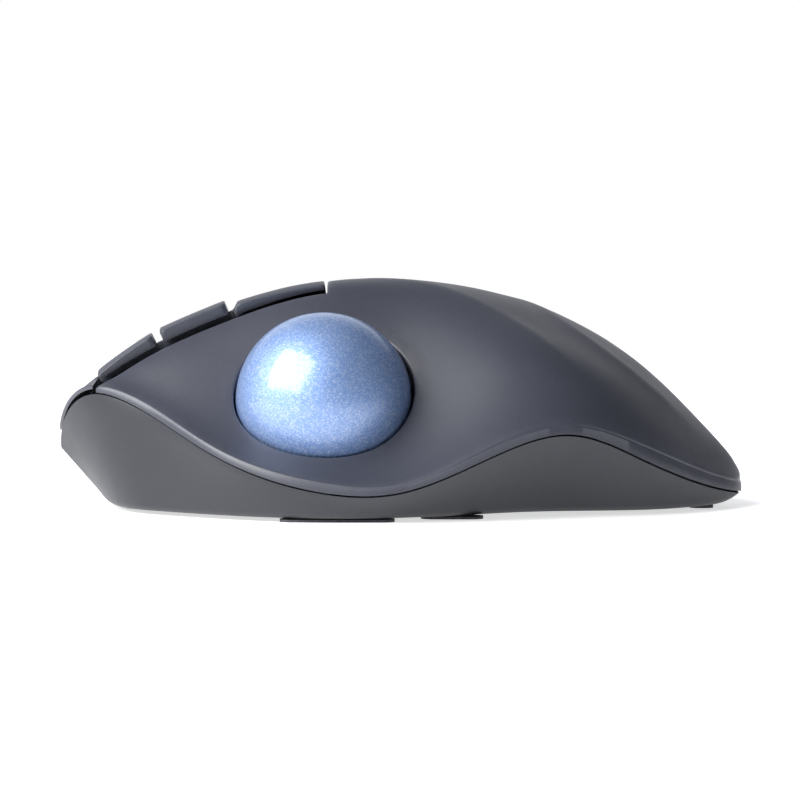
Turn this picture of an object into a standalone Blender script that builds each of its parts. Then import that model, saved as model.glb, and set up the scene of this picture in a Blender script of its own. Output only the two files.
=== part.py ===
"""Thumb-operated trackball mouse, in metres, +Z up.

The front, with the buttons, faces -X. The thumb side, with the ball, faces -Y.
The feet stand on z = 0, and the origin is under the middle of the body.
Sizes below are in millimetres and are turned to metres where a mesh is made.
"""

import math

import bmesh
import bpy
import numpy as np
from mathutils import Matrix, Vector
from mathutils.geometry import delaunay_2d_cdt

MM = 0.001

# Joined pieces reach into each other by BITE, and a cutter runs past a face by PAST
BITE = 0.5
PAST = 1.0

# Overall body
LENGTH = 134.0
WIDTH = 100.0
HEIGHT = 44.3
WALL = 2.0
GAP = 0.3
SEAM = 0.6

# Base and feet
FOOT_HEIGHT = 0.5
BASE_Z = FOOT_HEIGHT + GAP
FLOOR = 1.8
FLOOR_TOP = BASE_Z + FLOOR

# Ball and what holds it
BALL_RADIUS = 17.0
BALL_CENTRE = Vector((-14.7, -27.5, 22.4))
BALL_TILT = math.radians(46.0)
BALL_CLEARANCE = 0.4
CUP_CLEARANCE = 0.5
CUP_WALL = 1.4
CUP_RIM_DROP = 1.6
SUPPORT_RADIUS = 1.5
SUPPORT_POLAR = math.radians(50.0)
PUSH_HOLE_RADIUS = 7.0
SENSOR_HEADING = Vector((-0.36, 0.93, 0.0)).normalized()
SENSOR_WINDOW_RADIUS = 3.2

# Buttons
PLATE = 1.8
PLATE_PROUD = 0.2
FORWARD_PROUD = (1.2, 2.4)
BACK_PROUD = (2.5, 2.4)
SIDE_LIFT = 0.2
SIDE_WIDTH = 6.0
SHOULDER_PROUD = 1.3
EDGE_DEPTH = 0.6
NOSE_END_X = -54.0
SHOULDER_FADE = 3.0
SHOULDER_NOSE = 1.8
HINGE_X = -14.8
EDGE_GAP = 2.0
SPLIT_Y = 8.0
FORWARD_X = (-58.2, -47.4)
BACK_X = (-45.8, -33.4)
STEM_RADIUS = 1.6
FRAME_DEPTH = 4.4
FRAME_PLATE = 1.2
FRAME_FRONT_X = -58.5
FRAME_BEHIND_HINGE = 2.5
FRAME_UNDER = 2.0
FRAME_CORNER = 0.8
STEM_ROOM = 1.0
NOTCH_END = 1.0
NOTCH_SIDE = 0.8
NOTCH_SLANT = 1.5

# Scroll wheel
WHEEL_X = -37.0
WHEEL_RADIUS = 10.0
WHEEL_WIDTH = 7.0
WHEEL_PROUD = 2.0
TYRE = 1.7
AXLE_RADIUS = 1.2
AXLE_LENGTH = 16.3
ARM = 1.5
ARM_GAP = 0.5
ENCODER_LENGTH = 8.0
CARRIER_PIVOT = Vector((-26.0, SPLIT_Y, 19.0))
CLICK_TRAVEL = 0.5

# Boards and switches
BOARD = 1.6
BOARD_Z = 10.0
BOARD_OUTLINE = ((-58.5, -1.0), (-52.0, -12.0), (-29.0, -12.0), (-29.0, 27.5), (-50.0, 27.5), (-58.5, 14.0))
SWITCH = (12.8, 5.8, 6.5)
TACT = (6.0, 6.0, 3.5)
PLUNGER_RADIUS = 0.9
PLUNGER_OUT = 1.0
LEFT_SWITCH = (-46.0, -2.5)
RIGHT_SWITCH = (-43.0, 24.0)
MIDDLE_SWITCH_X = -50.0
SIDE_BOARD_DEPTH = 10.6
MIDDLE_SLOT = 2.6
TACT_ROOM = 0.6

# Battery, receiver and door
CELL_RADIUS = 7.25
CELL_LENGTH = 50.5
CELL_NUB = (2.75, 1.3)
CELL_BEVEL = 0.6
CELL_START_X = -8.0
CELL_Y = 5.0
SPRING_ROOM = 4.0
PLATE_ROOM = 1.4
RECEIVER = (18.5, 14.0, 6.0)
RECEIVER_PLUG = (12.0, 0.9)
BAY_WALL = 1.2
COLLAR = 1.6
CRADLE_RISE = 2.0
DOOR_LIP = 1.6
DOOR = 1.2
THUMB_DENT = 4.0
DOOR_TOP = BASE_Z + DOOR
CELL_Z = DOOR_TOP + 2 * GAP + CELL_RADIUS

# Underside controls
SLIDER_AT = (-44.0, 26.0)
SLIDER = (5.0, 4.0)
SLIDER_TRAVEL = 3.0
CONNECT_AT = (-40.0, 10.0)
CONNECT_RADIUS = 2.4
CONNECT_TRAVEL = 0.5

# Fasteners
SCREW_RADIUS = 1.2
SCREW_HEAD_RADIUS = 2.6
SCREW_HEAD = 1.5
SCREW_LENGTH = 12.0
SCREW_POINT = 1.5
SCREW_POINT_RADIUS = 0.3
SCREW_CROSS = (1.5, 0.3, 0.8)
PILOT_SPARE = 1.5
POST_RADIUS = 3.2
BOSS_RADIUS = 4.5
BOSS_TOP = 5.2
FRONT_SCREWS = ((-27.5, 21.0), (-20.0, 8.0))
REAR_SCREWS = ((53.5, -2.0), (18.0, -14.0), (8.0, 38.0))
FEET = ((-49.0, 3.0, 4.5, 12.0), (-12.0, -40.5, 11.0, 3.0), (-20.0, 36.0, 12.0, 3.5),
        (59.0, 0.0, 2.3, 6.5), (10.0, -32.5, 6.0, 3.0))

# Body lines, drawn at 134 x 100 x 45 mm: at each station along the length, the
# place across and the height of nine rails, from the left lip over to the right.
DRAWN = (134.0, 100.0, 45.0)
FRONT_TIP = (2.0, 13.0)
REAR_TIP = (0.0, 4.7)
STATIONS = (
    (-60.0, ((-19.3, 25.0), (-16.0, 25.2), (-12.5, 25.4), (-9.0, 25.4), (-2.0, 25.1), (8.0, 24.4),
             (17.0, 22.6), (23.0, 20.1), (27.0, 16.8))),
    (-48.0, ((-28.5, 21.4), (-24.0, 24.6), (-17.5, 30.4), (-13.5, 32.2), (-4.0, 32.2), (9.0, 31.0),
             (22.0, 26.8), (32.0, 20.8), (38.5, 13.5))),
    (-34.0, ((-42.0, 13.6), (-35.0, 17.6), (-20.0, 32.0), (-12.5, 38.0), (-4.0, 38.6), (10.0, 37.2),
             (26.0, 31.6), (38.0, 23.0), (45.0, 12.5))),
    (-15.0, ((-49.0, 8.0), (-42.0, 12.8), (-25.0, 28.8), (-10.5, 43.6), (0.0, 44.4), (11.0, 42.3),
             (28.0, 35.5), (41.0, 25.0), (49.0, 12.0))),
    (0.0, ((-50.0, 7.7), (-42.5, 12.6), (-25.0, 29.2), (-10.5, 43.6), (0.0, 45.2), (11.0, 43.6),
           (28.0, 36.5), (41.0, 25.5), (50.0, 11.5))),
    (18.0, ((-46.2, 15.2), (-39.5, 21.0), (-30.0, 31.0), (-16.0, 39.6), (-3.0, 42.6), (10.0, 41.3),
            (27.0, 34.3), (40.0, 24.0), (48.7, 10.8))),
    (32.0, ((-41.0, 18.9), (-36.5, 23.0), (-31.0, 28.3), (-18.5, 34.0), (-4.0, 37.5), (9.0, 36.6),
            (23.0, 31.0), (35.5, 21.5), (43.7, 10.0))),
    (46.0, ((-32.0, 14.6), (-28.5, 18.4), (-25.0, 21.2), (-17.0, 25.4), (-4.0, 29.1), (7.0, 28.4),
            (18.0, 24.3), (28.0, 16.8), (35.0, 8.7))),
    (58.0, ((-17.5, 8.6), (-15.0, 11.0), (-12.5, 13.0), (-8.5, 15.5), (-2.0, 17.7), (4.0, 17.5),
            (10.5, 16.2), (16.5, 12.0), (21.0, 7.2))),
)
# Height of the lip's upright strip along the thumb side
STRIP = ((-67.0, 1.3), (-60.0, 1.5), (-48.0, 1.8), (-34.0, 1.8), (-15.0, 2.0), (0.0, 1.7), (18.0, 2.3),
         (32.0, 2.2), (46.0, 2.9), (58.0, 2.8), (67.0, 2.0))
# The thumb rest's upper edge, where the buttons start
EDGE = ((-60.0, -19.0), (-48.0, -15.9), (-34.0, -13.4), (-14.8, -11.4))
THUMB_TIP_X = -58.9
# The right button's outer edge
RIGHT_EDGE = ((-59.0, 27.0), (-50.0, 27.5), (-34.0, 27.5), (-14.8, 28.5))
RIGHT_TIP_X = -57.5
# The flat base's outline, left side and right side, front to rear
BASE_FRONT_X = -57.5
BASE_REAR_X = 64.0
BASE_LEFT = ((-57.5, 4.0), (-54.5, -16.0), (-46.0, -27.0), (-34.0, -37.0), (-18.0, -44.8), (-4.0, -44.8),
             (10.0, -38.0), (24.0, -28.5), (38.0, -25.0), (50.0, -21.5), (58.5, -13.5), (64.0, 0.0))
BASE_RIGHT = ((-57.5, 4.0), (-54.0, 22.0), (-44.0, 34.0), (-26.0, 42.0), (0.0, 45.5), (28.0, 42.5),
              (46.0, 32.5), (57.0, 18.0), (64.0, 0.0))


# ---------------------------------------------------------------- body surface

def natural_spline(knots, values):
    """A natural cubic through values at knots; values may hold several columns."""
    knots = np.asarray(knots, float)
    values = np.asarray(values, float)
    step = np.diff(knots)
    last = len(knots) - 1
    matrix = np.eye(last + 1)
    right = np.zeros_like(values)
    for i in range(1, last):
        matrix[i, i - 1:i + 2] = step[i - 1], 2 * (step[i - 1] + step[i]), step[i]
        right[i] = 6 * ((values[i + 1] - values[i]) / step[i] - (values[i] - values[i - 1]) / step[i - 1])
    bend = np.linalg.solve(matrix, right.reshape(last + 1, -1)).reshape(values.shape)

    def at(place):
        place = np.asarray(place, float)
        i = np.clip(np.searchsorted(knots, place, side="right") - 1, 0, last - 1)
        shape = place.shape + (1,) * (values.ndim - 1)
        after = (place - knots[i]).reshape(shape)
        before = (knots[i + 1] - place).reshape(shape)
        h = step[i].reshape(shape)
        return ((bend[i] * before**3 + bend[i + 1] * after**3) / (6 * h)
                + (values[i] / h - bend[i] * h / 6) * before
                + (values[i + 1] / h - bend[i + 1] * h / 6) * after)

    return at


def angle_along(x, half):
    """The angle whose cosine gives the place along a length. It turns blunt round ends into plain curves."""
    return np.arccos(np.clip(-np.asarray(x, float) / half, -1, 1))


def body_rails():
    tips = [np.tile(tip, (len(STATIONS[0][1]), 1)) for tip in (FRONT_TIP, REAR_TIP)]
    drawn_half = DRAWN[0] / 2
    knots = [0.0] + [float(angle_along(x, drawn_half)) for x, _ in STATIONS] + [math.pi]
    table = np.array([tips[0]] + [rails for _, rails in STATIONS] + [tips[1]])
    scale = np.array((WIDTH / DRAWN[1], HEIGHT / DRAWN[2]))
    return natural_spline(knots, table * scale)


RAILS = body_rails()
STRIP_AT = natural_spline([float(angle_along(x, DRAWN[0] / 2)) for x, _ in STRIP], [h for _, h in STRIP])


def drawn_line(points):
    return natural_spline([x * LENGTH / DRAWN[0] for x, _ in points],
                          [y * WIDTH / DRAWN[1] for _, y in points])


EDGE_AT = drawn_line(EDGE)
RIGHT_EDGE_AT = drawn_line(RIGHT_EDGE)


def rails_at(x):
    return RAILS(angle_along(x, LENGTH / 2))


def lip_y(x, side):
    """Where the outline lies across: side -1 is the thumb side, +1 the other."""
    return rails_at(x)[..., 0 if side < 0 else -1, 0]


def height(x, y):
    """Height of the body's upper surface over a point of the plan, just short of the very tips."""
    x = np.clip(np.atleast_1d(np.asarray(x, float)), 0.02 - LENGTH / 2, LENGTH / 2 - 0.02)
    y = np.atleast_1d(np.asarray(y, float))
    rails = rails_at(x)
    at, value = rails[..., 0], rails[..., 1]
    count = at.shape[1]
    step = np.maximum(np.diff(at, axis=1), 0.05)
    matrix = np.zeros((len(x), count, count))
    right = np.zeros((len(x), count))
    matrix[:, 0, 0] = 1
    matrix[:, -1, -1] = 1
    slope = np.diff(value, axis=1) / step
    for i in range(1, count - 1):
        matrix[:, i, i - 1] = step[:, i - 1]
        matrix[:, i, i] = 2 * (step[:, i - 1] + step[:, i])
        matrix[:, i, i + 1] = step[:, i]
        right[:, i] = 6 * (slope[:, i] - slope[:, i - 1])
    bend = np.linalg.solve(matrix, right[..., None])[..., 0]
    row = np.arange(len(x))
    i = np.clip((y[:, None] >= at).sum(axis=1) - 1, 0, count - 2)
    inside = np.clip(y, at[:, 0], at[:, -1])
    after = inside - at[row, i]
    before = at[row, i + 1] - inside
    h = step[row, i]
    return ((bend[row, i] * before**3 + bend[row, i + 1] * after**3) / (6 * h)
            + (value[row, i] / h - bend[row, i] * h / 6) * before
            + (value[row, i + 1] / h - bend[row, i + 1] * h / 6) * after)


def normal(x, y):
    """Unit normals of the upper surface."""
    reach = 0.4
    x = np.atleast_1d(np.asarray(x, float))
    y = np.atleast_1d(np.asarray(y, float))
    half = LENGTH / 2
    x0, x1 = np.maximum(x - reach, 0.02 - half), np.minimum(x + reach, half - 0.02)
    low, high = lip_y(x, -1), lip_y(x, 1)
    y0, y1 = np.maximum(y - reach, low), np.minimum(y + reach, high)
    middle = np.clip(y, low, high)
    dx = (height(x1, middle) - height(x0, middle)) / (x1 - x0)
    dy = (height(x, y1) - height(x, y0)) / np.maximum(y1 - y0, 0.01)
    found = np.stack((-dx, -dy, np.ones_like(dx)), axis=1)
    return found / np.linalg.norm(found, axis=1)[:, None]


def rim_height(x, side):
    """Height of the seam between the two shells."""
    lip = rails_at(x)[..., 0 if side < 0 else -1, 1]
    return lip - STRIP_AT(angle_along(x, LENGTH / 2))


def inward(angle, side):
    """The direction in plan from the outline towards the middle."""
    if angle < 0.02 or angle > math.pi - 0.02:
        return np.array((1.0 if angle < 1 else -1.0, 0.0))
    ends = np.array((angle - 0.02, angle + 0.02))
    line_x = -(LENGTH / 2) * np.cos(ends)
    line_y = RAILS(ends)[:, 0 if side < 0 else -1, 0]
    way = np.array((line_y[0] - line_y[1], line_x[1] - line_x[0])) * -side
    return way / np.linalg.norm(way)


def outline(start_x, end_x, side, count, inset=0.0):
    """Points along the body's outline on one side, evenly spread in angle."""
    angles = np.linspace(angle_along(start_x, LENGTH / 2), angle_along(end_x, LENGTH / 2), count)
    line = np.stack((-(LENGTH / 2) * np.cos(angles), RAILS(angles)[:, 0 if side < 0 else -1, 0]), axis=1)
    return line + inset * np.array([inward(angle, side) for angle in angles])


# ---------------------------------------------------------------- plain shapes

PARTS = bpy.data.collections.new("trackball_mouse")
CUTTERS = bpy.data.collections.new("cutters")


def clear_scene():
    for thing in list(bpy.data.objects):
        bpy.data.objects.remove(thing)
    bpy.context.scene.collection.children.link(PARTS)
    bpy.context.scene.collection.children.link(CUTTERS)


def material(name, colour, roughness, metallic=0.0):
    made = bpy.data.materials.get(name)
    if made is None:
        made = bpy.data.materials.new(name)
        made.use_nodes = True
        shader = made.node_tree.nodes["Principled BSDF"]
        shader.inputs["Base Color"].default_value = (*colour, 1.0)
        shader.inputs["Roughness"].default_value = roughness
        shader.inputs["Metallic"].default_value = metallic
    return made


def finish_mesh(name, mesh, place, collection):
    """An object from a bmesh in millimetres, with its origin at place."""
    origin = Vector(place)
    bmesh.ops.translate(mesh, verts=mesh.verts, vec=-origin)
    bmesh.ops.scale(mesh, verts=mesh.verts, vec=(MM, MM, MM))
    data = bpy.data.meshes.new(name)
    mesh.to_mesh(data)
    mesh.free()
    data.shade_smooth()
    data.set_sharp_from_angle(angle=math.radians(35))
    made = bpy.data.objects.new(name, data)
    made.location = origin * MM
    collection.objects.link(made)
    return made


def part(name, mesh, finish, place=(0.0, 0.0, 0.0)):
    made = finish_mesh(name, mesh, place, PARTS)
    made.data.materials.append(material(*finish))
    return made


def cutter(name, mesh):
    made = finish_mesh(name, mesh, (0, 0, 0), CUTTERS)
    made.hide_render = True
    made.display_type = "WIRE"
    return made


def cut(target, tool, operation="DIFFERENCE", solver="EXACT"):
    step = target.modifiers.new(tool.name, "BOOLEAN")
    step.operation = operation
    step.object = tool
    step.solver = solver


def box_mesh(low, high):
    mesh = bmesh.new()
    bmesh.ops.create_cube(mesh, size=1.0)
    low, high = Vector(low), Vector(high)
    bmesh.ops.scale(mesh, verts=mesh.verts, vec=high - low)
    bmesh.ops.translate(mesh, verts=mesh.verts, vec=(low + high) / 2)
    return mesh


def rod_mesh(start, end, radius, sides=24, end_radius=None):
    start, end = Vector(start), Vector(end)
    along = end - start
    turn = along.to_track_quat("Z", "Y").to_matrix().to_4x4()
    mesh = bmesh.new()
    bmesh.ops.create_cone(mesh, cap_ends=True, segments=sides, radius1=radius,
                          radius2=radius if end_radius is None else end_radius, depth=along.length,
                          matrix=Matrix.Translation((start + end) / 2) @ turn)
    return mesh


def turned_mesh(profile, axis_start, axis, sides):
    """A closed profile of (radius, distance along the axis) points, turned about the axis."""
    mesh = bmesh.new()
    turn = Vector(axis).to_track_quat("Z", "Y").to_matrix()
    rings = []
    for radius, along in profile:
        if radius < 1e-6:
            rings.append([mesh.verts.new(Vector(axis_start) + turn @ Vector((0, 0, along)))])
            continue
        ring = []
        for i in range(sides):
            angle = 2 * math.pi * i / sides
            spot = Vector((radius * math.cos(angle), radius * math.sin(angle), along))
            ring.append(mesh.verts.new(Vector(axis_start) + turn @ spot))
        rings.append(ring)
    closed = len(rings[0]) > 1 and len(rings[-1]) > 1
    pairs = list(zip(rings, rings[1:])) + ([(rings[-1], rings[0])] if closed else [])
    for first, second in pairs:
        for i in range(sides):
            corners = [first[i % len(first)], first[(i + 1) % len(first)],
                       second[(i + 1) % len(second)], second[i % len(second)]]
            mesh.faces.new(list(dict.fromkeys(corners)))
    bmesh.ops.recalc_face_normals(mesh, faces=mesh.faces)
    return mesh


# ---------------------------------------------------------------- plan outlines and curved plates

def inside(points, loop):
    """Which points lie inside a closed plan outline."""
    found = np.zeros(len(points), bool)
    x, y = points[:, 0], points[:, 1]
    for (x0, y0), (x1, y1) in zip(loop, np.roll(loop, -1, axis=0)):
        crosses = (y0 > y) != (y1 > y)
        if y0 != y1:
            found ^= crosses & (x < (x1 - x0) * (y - y0) / (y1 - y0) + x0)
    return found


def distance_to(points, loop, closed=True):
    nearest = np.full(len(points), 1e9)
    ends = np.roll(loop, -1, axis=0) if closed else loop[1:]
    for start, end in zip(loop, ends):
        along = end - start
        share = np.clip(((points - start) @ along) / max(along @ along, 1e-12), 0, 1)
        nearest = np.minimum(nearest, np.linalg.norm(points - start - share[:, None] * along, axis=1))
    return nearest


def rounded(corners, radius, steps=4):
    """A closed outline whose corners are turned to arcs."""
    corners = [Vector(c) for c in corners]
    made = []
    for i, corner in enumerate(corners):
        before = (corners[i - 1] - corner).normalized()
        after = (corners[(i + 1) % len(corners)] - corner).normalized()
        half = before.angle(after) / 2
        back = radius / math.tan(half)
        middle = corner + (before + after).normalized() * radius / math.sin(half)
        first = corner + before * back - middle
        second = corner + after * back - middle
        for k in range(steps + 1):
            share = k / steps
            spoke = (first * (1 - share) + second * share).normalized() * radius
            made.append(tuple(middle + spoke))
    return np.array(made)


def turning(loop):
    """Positive for a closed outline that runs anticlockwise."""
    after = np.roll(loop, -1, axis=0)
    return (loop[:, 0] * after[:, 1] - loop[:, 1] * after[:, 0]).sum()


def plan_triangles(loops, spacing, extra=()):
    """Points and triangles that fill loops[0] outside the other loops, and the border's edges in order."""
    loops = [loop if (turning(loop) > 0) == (k == 0) else loop[::-1] for k, loop in enumerate(loops)]
    low, high = loops[0].min(axis=0), loops[0].max(axis=0)
    rows = np.arange(low[1], high[1], spacing * 0.866)
    spots = [(x + spacing / 2 * (k % 2), y) for k, y in enumerate(rows)
             for x in np.arange(low[0], high[0], spacing)]
    spots = np.array(spots)
    keep = inside(spots, loops[0])
    for loop in loops[1:]:
        keep &= ~inside(spots, loop)
    for loop in loops:
        keep &= distance_to(spots, loop) > 0.5 * spacing
    spots = spots[keep]
    if len(extra):
        spots = np.concatenate((extra, spots[distance_to(spots, extra) > 0.5 * spacing]))
    border = np.concatenate(loops)
    edges = []
    start = 0
    for loop in loops:
        count = len(loop)
        edges += [(start + i, start + (i + 1) % count) for i in range(count)]
        start += count
    points = np.concatenate((border, spots))
    found = delaunay_2d_cdt([Vector(p) for p in points], edges, [], 0, 1e-6)
    triangles = np.array(found[2])
    middles = points[triangles].mean(axis=1)
    keep = inside(middles, loops[0])
    for loop in loops[1:]:
        keep &= ~inside(middles, loop)
    return points, triangles[keep], edges


def plate_mesh(loops, proud, under, spacing, feet_of=None, hole_axis=None, extra=()):
    """A plate that follows the body's surface over a plan outline, with holes cut along hole_axis.

    proud and under are its two faces' distances above the surface, as numbers or as rules of x and y.
    feet_of(point) gives, for a border point where the surface turns down into an upright lip,
    the lip's two lower corners, outer and inner, or None.
    """
    points, triangles, edges = plan_triangles(loops, spacing, extra)
    surface = np.column_stack((points, height(points[:, 0], points[:, 1])))
    way = normal(points[:, 0], points[:, 1])
    heights = [rule(*points.T) if callable(rule) else np.full(len(points), rule) for rule in (proud, under)]
    outer, inner = (surface + high[:, None] * way for high in heights)
    count = len(points)
    lips = {}
    border = sum(len(loop) for loop in loops)
    if hole_axis is not None:
        rim = slice(len(loops[0]), border)
        inner[rim] = outer[rim] - (heights[0] - heights[1])[rim, None] * np.array(hole_axis)
    if feet_of:
        for i in range(border):
            feet = feet_of(points[i])
            if feet is not None:
                lips[i] = feet
    mesh = bmesh.new()
    tops = [mesh.verts.new(p) for p in outer]
    bottoms = [mesh.verts.new(lips[i][1] if i in lips else inner[i]) for i in range(count)]
    feet = {i: mesh.verts.new(pair[0]) for i, pair in lips.items()}
    for a, b, c in triangles:
        mesh.faces.new((tops[a], tops[b], tops[c]))
        mesh.faces.new((bottoms[c], bottoms[b], bottoms[a]))
    for a, b in edges:
        if a in feet and b in feet:
            mesh.faces.new((tops[b], tops[a], feet[a], feet[b]))
            mesh.faces.new((feet[b], feet[a], bottoms[a], bottoms[b]))
            continue
        wall = [tops[b], tops[a], feet.get(a), bottoms[a], bottoms[b], feet.get(b)]
        mesh.faces.new([corner for corner in wall if corner])
    return mesh


# ---------------------------------------------------------------- the two shells

SHELL = ("moulded_graphite", (0.060, 0.064, 0.078), 0.55)
BASE = ("moulded_dark_graphite", (0.045, 0.048, 0.058), 0.6)
BLACK = ("black_plastic", (0.012, 0.012, 0.013), 0.5)
BALL = ("pearl_blue", (0.16, 0.30, 0.60), 0.18, 0.5)
RUBBER = ("wheel_rubber", (0.02, 0.02, 0.022), 0.8)
STEEL = ("steel", (0.55, 0.55, 0.56), 0.3, 1.0)
NICKEL = ("nickel", (0.7, 0.68, 0.62), 0.25, 1.0)
BOARD_GREEN = ("board_green", (0.02, 0.12, 0.05), 0.5)
SWITCH_BODY = ("switch_plastic", (0.03, 0.03, 0.035), 0.45)
PLUNGER = ("plunger_plastic", (0.7, 0.68, 0.6), 0.45)
CLEAR = ("clear_lens", (0.75, 0.8, 0.82), 0.1)
CERAMIC = ("zirconia", (0.85, 0.84, 0.82), 0.2)
CELL = ("cell_wrap", (0.08, 0.08, 0.1), 0.35, 0.3)
GLIDE = ("glide_ptfe", (0.03, 0.03, 0.03), 0.5)
RIBBON = ("ribbon_film", (0.6, 0.6, 0.58), 0.5)

BALL_AXIS = Vector((0.0, -math.cos(BALL_TILT), math.sin(BALL_TILT)))
SURFACE_STEP = 5.0
SIDE_STEP = 3.0
TAIL_INSET = 1.3
BASE_ROUND = 1.2


def lip_feet(point):
    """The lower corners of the lip's upright strip, for a point on the outline."""
    x, y = point
    side = -1 if y < rails_at(x)[4, 0] else 1
    if abs(y - lip_y(x, side)) > 1e-3:
        return None
    foot = rim_height(x, side) + GAP
    middle = np.array(point) + WALL * inward(float(angle_along(x, LENGTH / 2)), side)
    return (x, y, foot), (middle[0], middle[1], foot)


def ball_opening(radius, count=40):
    """Plan outline of where a cylinder on the ball's axis meets the body's surface."""
    turn = BALL_AXIS.to_track_quat("Z", "Y").to_matrix()
    angles = np.linspace(0, 2 * math.pi, count, endpoint=False)
    ring = np.array([BALL_CENTRE + turn @ Vector((radius * math.cos(a), radius * math.sin(a), 0))
                     for a in angles])
    low, high = np.full(count, -8.0), np.full(count, 14.0)
    for _ in range(40):
        middle = (low + high) / 2
        spots = ring + middle[:, None] * np.array(BALL_AXIS)
        above = spots[:, 2] > height(spots[:, 0], spots[:, 1])
        high = np.where(above, middle, high)
        low = np.where(above, low, middle)
    return (ring + low[:, None] * np.array(BALL_AXIS))[:, :2]


def along_edge(line, start_x, end_x, count, shift=0.0):
    x = np.linspace(start_x, end_x, count)
    return np.stack((x, line(x) + shift), axis=1)


def across(x, start_y, end_y, count):
    """Points square to the length, without the two ends."""
    y = np.linspace(start_y, end_y, count + 2)[1:-1]
    return np.stack((np.full(count, x), y), axis=1)


def post(x, y, top):
    """A screw post that hangs from a shell or the frame down over a boss of the base."""
    return rod_mesh((x, y, BOSS_TOP + GAP), (x, y, top), POST_RADIUS, 20)


def pilot(x, y):
    tip = BASE_Z + SCREW_LENGTH + SCREW_HEAD + PILOT_SPARE
    return rod_mesh((x, y, BASE_Z), (x, y, tip), SCREW_RADIUS + GAP, 16)


def lowest_over(x, y, radius):
    """The lowest height of the body's surface over a round spot of the plan."""
    turns = np.linspace(0, 2 * math.pi, 12, endpoint=False)
    return float(height(x + radius * np.cos(turns), y + radius * np.sin(turns)).min())


def add_posts(target, screws, depth, solver="EXACT"):
    for i, (x, y) in enumerate(screws):
        top = lowest_over(x, y, POST_RADIUS) - depth
        cut(target, cutter(f"{target.name}_post_{i}", post(x, y, top)), "UNION", solver)
    for i, (x, y) in enumerate(screws):
        cut(target, cutter(f"{target.name}_pilot_{i}", pilot(x, y)), solver=solver)


def top_shell():
    rear = HINGE_X + SEAM
    loop = np.concatenate((
        outline(THUMB_TIP_X, LENGTH / 2, -1, 34),
        outline(LENGTH / 2, RIGHT_TIP_X, 1, 30)[1:],
        along_edge(RIGHT_EDGE_AT, RIGHT_TIP_X, rear, 10, SEAM),
        across(rear, RIGHT_EDGE_AT(rear) + SEAM, EDGE_AT(rear), 7),
        along_edge(EDGE_AT, rear, THUMB_TIP_X + 1.0, 12),
    ))
    tail = LENGTH / 2 - 9.0
    tail_ring = np.concatenate((
        outline(tail, LENGTH / 2, -1, 6, TAIL_INSET)[:-1],
        outline(LENGTH / 2, tail, 1, 6, TAIL_INSET),
    ))
    mesh = plate_mesh([loop, ball_opening(BALL_RADIUS + BALL_CLEARANCE)], 0.0, -WALL, SURFACE_STEP,
                      feet_of=lip_feet, hole_axis=BALL_AXIS, extra=tail_ring)
    shell = part("top_shell", mesh, SHELL)
    add_posts(shell, REAR_SCREWS, 0.5, "MANIFOLD")


def ring_points(count):
    """Angles round the body, the thumb side front to rear and then the other side back."""
    angles = np.linspace(0, math.pi, count, endpoint=False)
    return [(a, -1) for a in angles] + [(math.pi - a, 1) for a in angles]


def base_spot(angle, side):
    half = (BASE_REAR_X - BASE_FRONT_X) / 2
    middle = (BASE_REAR_X + BASE_FRONT_X) / 2
    points = BASE_LEFT if side < 0 else BASE_RIGHT
    knots = [float(angle_along(x - middle, half)) for x, _ in points]
    y = natural_spline(knots, [y for _, y in points])(angle)
    x = middle - half * math.cos(angle)
    return np.array((x * LENGTH / DRAWN[0], float(y) * WIDTH / DRAWN[1]))


def plan_inset(ring, by):
    """A closed plan ring moved towards its inside."""
    along = np.roll(ring, -1, axis=0) - np.roll(ring, 1, axis=0)
    way = np.stack((-along[:, 1], along[:, 0]), axis=1)
    return ring + by * way / np.linalg.norm(way, axis=1)[:, None]


def bottom_shell_mesh():
    inset = GAP
    places = ring_points(34)
    rim, rim_z, base = [], [], []
    for angle, side in places:
        x = -(LENGTH / 2) * math.cos(angle)
        rim.append((x, RAILS(angle)[0 if side < 0 else -1, 0]))
        rim_z.append(float(rim_height(x, side)))
        base.append(base_spot(angle, side))
    rim = plan_inset(np.array(rim), inset)
    rim_z, base = np.array(rim_z), np.array(base)
    near = 1 - BASE_ROUND / (rim_z - BASE_Z)
    rings = []
    for share in (0.0, 0.35, 0.7, 1.0):
        down = near * share
        rings.append(np.column_stack((rim + (base - rim) * down[:, None], rim_z + (BASE_Z - rim_z) * down)))
    turn = BASE_ROUND * (1 - math.sqrt(0.5))
    down = 1 - turn / (rim_z - BASE_Z)
    plan = plan_inset(rim + (base - rim) * down[:, None], turn)
    rings.append(np.column_stack((plan, np.full(len(base), BASE_Z + turn))))
    rings.append(np.column_stack((plan_inset(base, BASE_ROUND), np.full(len(base), BASE_Z))))
    inner = []
    for share in (1.0, 0.66, 0.33, 0.0):
        level = rim_z + (FLOOR_TOP - rim_z) * share
        down = (rim_z - level) / (rim_z - BASE_Z)
        plan = plan_inset(rim + (base - rim) * down[:, None], WALL)
        inner.append(np.column_stack((plan, level)))
    rings += inner
    mesh = bmesh.new()
    loops = [[mesh.verts.new(p) for p in ring] for ring in rings]
    count = len(places)
    floor, floor_top = loops[5], loops[6]
    for first, second in zip(loops, loops[1:]):
        if first is floor:
            continue
        for i in range(count):
            mesh.faces.new((first[i], first[(i + 1) % count], second[(i + 1) % count], second[i]))
    for i in range(count):
        mesh.faces.new((loops[-1][i], loops[-1][(i + 1) % count], loops[0][(i + 1) % count], loops[0][i]))
    mesh.faces.new(floor)
    mesh.faces.new(floor_top)
    bmesh.ops.recalc_face_normals(mesh, faces=mesh.faces)
    bmesh.ops.triangulate(mesh, faces=[f for f in mesh.faces if len(f.verts) > 4])
    return mesh


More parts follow.
